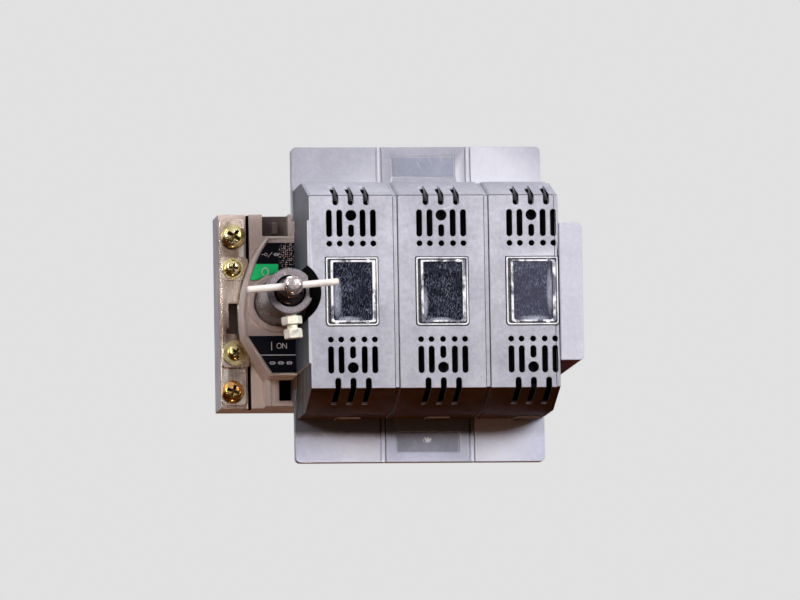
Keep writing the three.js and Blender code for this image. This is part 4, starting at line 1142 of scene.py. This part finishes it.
def cover_outline(inset, right):
    """Outline in X and Z: straight right side, top, arc at the left, knee and bottom."""
    r = ARC_R - inset
    top = ARC_TOP - inset
    low = ARC_LOW + inset * 0.4

    def angle(z):
        return 180 - math.degrees(math.asin((z - ARC_Z) / r))

    return ([(right, top)] + arc(ARC_X, ARC_Z, r, angle(top), angle(low), 24)
            + [(KNEE[0] + inset * 0.9, KNEE[1] + inset), (right, KNEE[1] + inset)])


def make_mechanism_cover():
    lo, hi = box_mm("mechanism_cover")
    right, front, rear = LABEL_RIGHT, lo.y, hi.y
    half = GEAR_POCKET["half_z"]
    shell = prism(cover_outline(0, right), front - RIM_PROUD, rear)
    shell = cut(shell, prism(cover_outline(RIM, right + 5), front - RIM_PROUD - 1, front))
    boss = rod(CHANNEL_R - 0.5, front, rear, x=SHAFT_X, steps=72)
    shell = join(shell, cut(boss, block(*BOSS_FLAT, front - 1, rear + 1, -20, 20)))
    shell = join(shell, block(KNEE[0], right, COLUMN_FRONT, rear, lo.z, KNEE[1] + 0.5))
    heights = (COLUMN_WINDOW["low"], KNEE[1] - 0.1)
    window = block(COLUMN_WINDOW["x"], right + 1, COLUMN_FRONT - 1, rear - 2, *heights)
    line = block(*COLUMN_LINE, COLUMN_FRONT - 1, COLUMN_FRONT + 0.3, lo.z - 1, KNEE[1] + 1)
    shell = cut(shell, window, line)
    hollow = prism(cover_outline(HOOD_WALL, right - HOOD_WALL), front + HOOD_WALL, rear + 1)
    hollow = join(hollow, rod(CHANNEL_R - 2.7, front + HOOD_WALL, rear + 1, x=SHAFT_X, steps=48))
    shell = cut(shell, hollow, rod(13, front - 2, front + 4, x=SHAFT_X, steps=64))
    gear_room = block(*GEAR_ROOM, BEHIND_HOOD[0], rear + 1, -half, half)
    plate_room = block(*PLATE_ROOM["x"], BEHIND_HOOD[1], rear + 1, *PLATE_ROOM["z"])
    shell = cut(shell, gear_room, plate_room)
    obj = piece(shell, "mechanism_hood", "base", (BEIGE, VOID), ("mechanism_cover",), 0.4)

    def behind_window(c, normal):
        in_height = COLUMN_WINDOW["low"] - 0.1 < c.z < KNEE[1] + 0.1
        return c.x > COLUMN_WINDOW["x"] - 0.1 and in_height and c.y > COLUMN_FRONT + 0.5

    # Painted shade inside the column's recess.
    paint(obj, 1, behind_window)


# ---------------- labels and their generic marks
LABEL_RIGHT = -65.3
UPPER = (11.6, 30.0)
GREEN_Z = (11.6, 19.5)
LOWER = (-40, -16.0)
BUSH_ROOM_R = 14.6
MARK_T = 0.06                 # thickness of the ink
INK_SUNK = 0.005              # the ink reaches this far into the film
STROKE = 0.3
SYMBOL_Z = 24.2
ON_X = {"bar": -77.9, "ring": -74.2, "n": (-72.5, -70.5)}
ON_Z = (-22.3, -19.6)
LINE_Z = -25.5
FUSE_MARK = {"x": -77.6, "pitch": 4.2, "z": -29.4}


def clipped(inset, z0, z1, front, rear):
    """The part of the label sheet between two heights, clear of the bush."""
    sheet = prism(cover_outline(inset, LABEL_RIGHT - 0.6), front, rear)
    low = block(-110, 0, front - 1, rear + 1, -80, z0)
    high = block(-110, 0, front - 1, rear + 1, z1, 80)
    return cut(sheet, low, high, rod(BUSH_ROOM_R, front - 1, rear + 1, x=SHAFT_X, steps=64))


def strip(points, width, front, rear):
    """A thin printed stroke through two points."""
    (x0, z0), (x1, z1) = points
    run = Vector((x1 - x0, z1 - z0)).normalized() * width / 2
    side = Vector((-run.y, run.x))
    corners = [(x0 - side.x, z0 - side.y), (x1 - side.x, z1 - side.y), (x1 + side.x, z1 + side.y),
               (x0 + side.x, z0 + side.y)]
    return prism(corners, front, rear)


def ring(x, z, radius, width, front, rear, stretch=1.0):
    outer, inner = ([(x + (px - x) * stretch, pz) for px, pz in circle(x, z, r)]
                    for r in (radius, radius - width))
    return band(outer, inner, front, rear)


def frame_mark(x0, x1, z0, z1, width, front, rear):
    """An oblong drawn as a line of the given width."""
    def corners(d):
        return [(x0 + d, z0 + d), (x1 - d, z0 + d), (x1 - d, z1 - d), (x0 + d, z1 - d)]

    return band(corners(0), corners(width), front, rear)


def make_marks(face, rear):
    """The switch symbol, I and ON, a line and three fuses, all generic."""
    ink = (face, rear)
    z = SYMBOL_Z
    symbol = [
        strip([(-82.2, z), (-80.8, z)], STROKE, *ink),
        ring(-80.0, z, 0.8, 0.28, *ink),
        strip([(-79.1, z - 1.4), (-76.9, z + 1.1)], STROKE, *ink),
        strip([(-76.5, z), (-73.5, z)], STROKE, *ink),
        frame_mark(-75.9, -73.8, z - 0.7, z + 0.7, 0.25, *ink),
    ]
    (low, high), (n_left, n_right) = ON_Z, ON_X["n"]
    letters = [
        strip([(ON_X["bar"], -23.1), (ON_X["bar"], -18.9)], 0.4, *ink),
        ring(ON_X["ring"], sum(ON_Z) / 2, 1.4, STROKE, *ink, 0.88),
        strip([(n_left, low), (n_left, high)], STROKE, *ink),
        strip([(n_left, high), (n_right, low)], STROKE, face - 0.001, rear + 0.001),
        strip([(n_right, low), (n_right, high)], STROKE, *ink),
    ]
    line = strip([(-83.9, LINE_Z), (LABEL_RIGHT - 0.7, LINE_Z)], 0.35, *ink)
    fuses = []
    for i in range(3):
        x, z = FUSE_MARK["x"] + i * FUSE_MARK["pitch"], FUSE_MARK["z"]
        fuses.append(strip([(x - 1.7, z), (x + 1.7, z)], 0.22, *ink))
        fuses.append(frame_mark(x - 1.1, x + 1.1, z - 0.7, z + 0.7, 0.25, face - 0.002, rear + 0.002))
    return {"mark_symbol": merge(*symbol), "mark_on": merge(*letters), "mark_line": line,
            "mark_fuses": merge(*fuses)}


def make_labels():
    lo, hi = box_mm("label_upper")
    front, rear = lo.y, hi.y
    for name, heights, material in (("upper", UPPER, FILM), ("lower", LOWER, BLACK)):
        sheet = clipped(RIM + 0.1, *heights, front, rear)
        piece(sheet, f"label_sheet_{name}", "base", material, (f"label_{name}",), edge=0.08)
    face = front - MARK_T
    inside = front - INK_SUNK
    field = cut(clipped(RIM + 0.2, *GREEN_Z, face, inside), block(-74, -60, face - 1, front + 1, 5, 25))
    piece(field, "green_field", "base", GREEN, edge=0)
    marks = {"mark_off": ring(-80.5, 15.6, 2.2, 0.5, face - MARK_T, face - INK_SUNK, 0.85)}
    marks.update(make_marks(face, inside))
    for name, mark in marks.items():
        piece(mark, name, "base", WHITE, edge=0)


# ---------------- bush, shaft and coupling
TILT = math.radians(-5)
COLLAR_R = 11.4
SLEEVE_R = 10.7
SHAFT_R = 6.9
SHOULDER_Y = -42
RING_LENGTH = 15              # clamp ring, ahead of the sleeve
COLLAR_BORE = 7.2
MOUTH_R = 7.7
COLLAR_FLAT = {"x": 9.3, "low": -4.2}


BUSH = {"bore": 11.0, "flange": 14.2, "body": 12.7, "flange_t": 1.4}


def make_bush():
    lo, hi = box_mm("bearing_bush")
    bore, flange, body = BUSH["bore"], BUSH["flange"], BUSH["body"]
    seat = lo.y + BUSH["flange_t"]
    profile = [(bore, lo.y + 0.4), (bore + 0.5, lo.y), (flange - 0.6, lo.y), (flange, lo.y + 0.6),
               (flange, seat), (body, seat), (body, hi.y), (bore, hi.y)]
    bush = lathe(profile, SHAFT_X, 0, 96)
    piece(bush, "bush_ring", "base", BEIGE, ("bearing_bush",), edge=0.15)


def make_collar():
    lo, hi = box_mm("shaft_collar")
    front, rear = lo.y, hi.y
    step = front + RING_LENGTH
    profile = [(MOUTH_R, front + 0.4), (MOUTH_R + 0.3, front), (COLLAR_R - 0.4, front),
               (COLLAR_R, front + 0.5), (COLLAR_R, step - 0.6), (COLLAR_R - 0.4, step),
               (SLEEVE_R, step + 0.5), (SLEEVE_R, rear),
               (COLLAR_BORE, rear), (COLLAR_BORE, front + 3.0), (MOUTH_R, front + 2.9)]
    collar = lathe(profile, 0, 0, 96)
    collar = cut(collar, rod(2.9, -COLLAR_R - 2, -2, "z", y=front + 6, steps=32))
    collar = cut(collar, block(COLLAR_FLAT["x"], COLLAR_R + 1, front - 1, step, COLLAR_FLAT["low"], COLLAR_R))
    turn_about_shaft(collar, TILT)
    obj = piece(collar, "collar_body", "shaft", (CAST, SLEEVE, VOID), ("shaft_collar",), 0.25)
    # Painted shade on the sleeve and in the collar's mouth.
    paint(obj, 1, lambda c, normal: c.y > step - 0.3)
    paint(obj, 2, lambda c, normal: math.hypot(c.x - SHAFT_X, c.z) < MOUTH_R + 0.05 and c.y > front + 0.4)


NECK_RISE = 1.2               # the neck and its pin sit this far above the shaft axis
NECK_R = 4.7
NECK_END = 2.4                # rounding of the neck's tip
SHOULDER_DOME = 2.6
JOURNAL_R = 3


def make_shaft():
    lo, hi = box_mm("operating_shaft")
    face = box_mm("shaft_collar")[0].y
    pin_y = middle_mm("cross_pin", "y")
    quarter = [math.radians(90 * i / 10) for i in range(11)]
    dome = [(SHAFT_R * math.sin(a), face - SHOULDER_DOME * math.cos(a)) for a in quarter]
    journal = [(SHAFT_R, SHOULDER_Y), (JOURNAL_R, SHOULDER_Y), (JOURNAL_R, hi.y), (0, hi.y)]
    core = lathe([(0, dome[0][1])] + dome[1:] + journal, 0, 0, 72)
    tip = [(NECK_R - NECK_END * (1 - math.sin(a)), lo.y + NECK_END * (1 - math.cos(a))) for a in quarter]
    neck = lathe([(0, lo.y)] + tip + [(NECK_R, face), (0, face)], 0, NECK_RISE, 56)
    core = join(core, neck)
    core = cut(core, rod(2.0, -SHAFT_R - 1, SHAFT_R + 1, "x", y=pin_y, z=NECK_RISE, steps=32))
    turn_about_shaft(core, TILT)
    obj = piece(core, "shaft_core", "shaft", (NECK_STEEL, SHOULDER), ("operating_shaft",), edge=0.2)
    axis = (SHAFT_X + NECK_RISE * math.sin(TILT), NECK_RISE * math.cos(TILT))
    paint(obj, 1, lambda c, normal: math.hypot(c.x - axis[0], c.z - axis[1]) > NECK_R + 0.1 or c.y > face - 1)


def bead(x, y, z, radius, squash=(1, 1, 1)):
    """A rounded lump, as left by a punch or a weld."""
    bm = bmesh.new()
    bmesh.ops.create_icosphere(bm, subdivisions=4, radius=radius)
    for v in bm.verts:
        wave = 0.06 * math.sin(3.1 * v.co.x / radius + 1.3) * math.cos(2.7 * v.co.z / radius)
        v.co = Vector((v.co.x * squash[0], v.co.y * squash[1], v.co.z * squash[2])) * (1 + wave)
        v.co += Vector((x, y, z))
    return as_object(bm)


def make_pin():
    lo, hi = box_mm("cross_pin")
    half = (hi.x - lo.x) / 2 / math.cos(TILT)
    y = middle_mm("cross_pin", "y")
    radius = (hi.y - lo.y) / 2
    pin = rod(radius, -half, half, "x", y=y, z=NECK_RISE, steps=40, end=0.5)
    turn_about_shaft(pin, TILT)
    piece(pin, "handle_pin", "shaft", STEEL, ("cross_pin",), edge=0.2)
    tip = box_mm("operating_shaft")[0].y
    beads = [bead(1.4, tip + 0.6, NECK_RISE + 0.8, 1.85),
             bead(-1.1, tip + 2.0, NECK_RISE + 3.3, 1.5, (1.5, 1.1, 0.8)),
             bead(0.6, tip + 1.2, NECK_RISE + 2.5, 0.9, (0.6, 1.0, 1.4))]
    turn_about_shaft(merge(*beads), TILT)
    piece(beads[0], "staked_beads", "shaft", STEEL, edge=0)


HEX_AF = 8
BOLT_HEAD = (-22.8, -18.2)    # lower and upper end, in Z
NUT = (-16.0, -12.1)
THREAD_Z = (-17.9, -17.2, -16.5, -11.8)


def hex_body(across_flats, low, high, y, chamfer=0.6):
    """A hexagon along Z with its corners turned off at both ends."""
    r = across_flats / math.sqrt(3)
    corners = [math.radians(60 * i) for i in range(6)]
    solid = prism([(r * math.cos(a), r * math.sin(a) + y) for a in corners], low, high, "z")
    blank = rod(r * 1.01, low, high, "z", y=y, steps=48, end=chamfer)
    return combine(solid, "INTERSECT", [blank])


def make_clamp():
    y = middle_mm("clamp_nut", "y")
    bolt = join(hex_body(HEX_AF, *BOLT_HEAD, y), rod(2.4, BOLT_HEAD[1] - 0.5, -7.4, "z", y=y, steps=32))
    threads = [band(circle(0, y, 2.62, 32), circle(0, y, 2.3, 32), z, z + 0.35, "z") for z in THREAD_Z]
    nut = cut(hex_body(HEX_AF * 1.12, *NUT, y, 0.5), rod(2.75, NUT[0] - 1, NUT[1] + 1, "z", y=y, steps=32))
    for obj, name, node, edge in ((merge(bolt, *threads), "clamp_screw", "clamp_bolt", 0.15),
                                  (nut, "clamp_hex_nut", "clamp_nut", 0.2)):
        turn_about_shaft(obj, TILT)
        piece(obj, name, "shaft", PALE_ZINC, (node,), edge)


# ---------------- carried-over nodes
KEPT = {
    "line_contact": (COPPER, 0.2),
    "fuse_clip_top": (COPPER, 0.2),
    "fuse_clip_bottom": (COPPER, 0.2),
    "fuse_link": (CERAMIC, 0.0),
    "terminal_screw_top": (STEEL, 0.0),
    "terminal_screw_bottom": (STEEL, 0.0),
    "moving_contact": (COPPER, 0.2),
}
KEPT_SINGLE = {
    "tie_rod_upper": STEEL,
    "tie_rod_lower": STEEL,
    "drive_gear": STEEL,
    "rotor": ROTOR,
    "toggle_spring": STEEL,
}


def dress(node, material, edge=0.0):
    """Gives a CAD node its material, and small round edges by a modifier."""
    obj = frame["nodes"][node]
    obj.data.materials.clear()
    obj.data.materials.append(material)
    if edge:
        tool = obj.modifiers.new("bevel", "BEVEL")
        tool.width = edge * MM
        tool.segments = 2
        tool.limit_method = "ANGLE"
        tool.angle_limit = SHARP


def dress_kept_nodes():
    for stem, (material, edge) in KEPT.items():
        for n in POLES:
            dress(f"{stem}_{n}", material, edge)
    for node, material in KEPT_SINGLE.items():
        dress(node, material)


# ---------------- studio
BACKDROP = linear(225, 225, 225)
FLOOR_Z = -1.3


def make_world():
    """Pale to the camera. For lighting, bright above and behind, dim in front and warm dark below.

    Glossy rays also see a bright wall all round, from a little above the object's level."""
    world = bpy.data.worlds.new("studio")
    world.use_nodes = True
    tree = world.node_tree
    tree.nodes.clear()
    place = add(tree, "SeparateXYZ", {0: add(tree, "TexCoord").outputs["Generated"]})
    up = remap(tree, place.outputs[2], 0.15, 0.8)
    below = remap(tree, place.outputs[2], -0.05, 0.12)
    level = remap(tree, place.outputs[2], -0.12, 0.0)
    behind = maths(tree, "MULTIPLY", remap(tree, place.outputs[1], 0.1, 0.6), level)
    low = blend(tree, below, (0.045, 0.016, 0.005, 1), (0.07, 0.07, 0.085, 1))
    sky = blend(tree, up, low, (0.5, 0.5, 0.545, 1))
    light = blend(tree, behind, sky, (0.85, 0.85, 0.9, 1))
    rays = add(tree, "LightPath")
    wall = remap(tree, place.outputs[2], 0.02, 0.1)
    mirrored = maths(tree, "MULTIPLY", rays.outputs["Is Glossy Ray"], wall)
    light = blend(tree, mirrored, light, (0.62, 0.6, 0.6, 1), "LIGHTEN")
    colour = blend(tree, rays.outputs["Is Camera Ray"], light, BACKDROP)
    shade = add(tree, "Background", {"Color": colour})
    output = add(tree, "OutputWorld", {"Surface": shade.outputs[0]})
    output.is_active_output = True
    bpy.context.scene.world = world


def make_light(name, place, aim, size, power, colour=(1, 1, 1), spread=180):
    data = bpy.data.lights.new(name, "AREA")
    data.spread = math.radians(spread)
    data.shape = "RECTANGLE"
    data.size, data.size_y = size
    data.energy = power
    data.color = colour
    light = bpy.data.objects.new(name, data)
    light.location = place
    light.rotation_euler = (Vector(aim) - Vector(place)).to_track_quat("-Z", "Y").to_euler()
    bpy.context.scene.collection.objects.link(light)


def make_floor():
    bm = bmesh.new()
    bmesh.ops.create_grid(bm, x_segments=8, y_segments=8, size=9)
    floor = as_object(bm, "floor")
    floor.location.z = FLOOR_Z
    material, tree, shader = start("pale_floor", Roughness=0.8, Emission_Strength=0.25)
    colour = blend(tree, noise(tree, 400), linear(226, 226, 226), linear(232, 232, 232))
    tree.links.new(colour, shader.inputs["Base Color"])
    shader.inputs["Emission Color"].default_value = BACKDROP
    floor.data.materials.append(material)
    floor.visible_diffuse = False
    floor.visible_glossy = False
    floor.visible_transmission = False


def make_studio():
    make_world()
    middle = (0, -0.05, 0)
    mechanism = (-0.12, -0.05, 0.0)
    under_mechanism = (-0.09, -0.02, -0.05)
    make_light("key", (0.75, -1.5, 0.42), middle, (0.8, 0.42), 25)
    make_light("left_fill", (-1.1, -0.45, 0.8), middle, (0.5, 0.8), 3, (0.97, 0.98, 1.0))
    make_light("left_beam", (-0.8, -1.25, 0.3), mechanism, (0.3, 0.3), 0.075, (1.0, 0.97, 0.94), spread=14)
    make_light("warm_low", (-0.12, -0.16, -0.42), under_mechanism, (0.06, 0.06), 0.25, (1.0, 0.62, 0.4))
    make_floor()
    bpy.context.scene.view_settings.view_transform = "Standard"


# ---------------- build
make_camera()
for n in POLES:
    make_shroud(n)
    make_window(n)
    make_pole_body(n)
    for sign in SIDES:
        make_cover(n, sign)
make_end()
make_mechanism_base()
make_plates()
for n, (turn, plating) in MECH_SCREWS.items():
    make_screw(n, turn, plating)
make_washers()
make_mechanism_cover()
make_labels()
make_bush()
make_collar()
make_shaft()
make_pin()
make_clamp()
dress_kept_nodes()
make_studio()

bpy.context.view_layer.update()
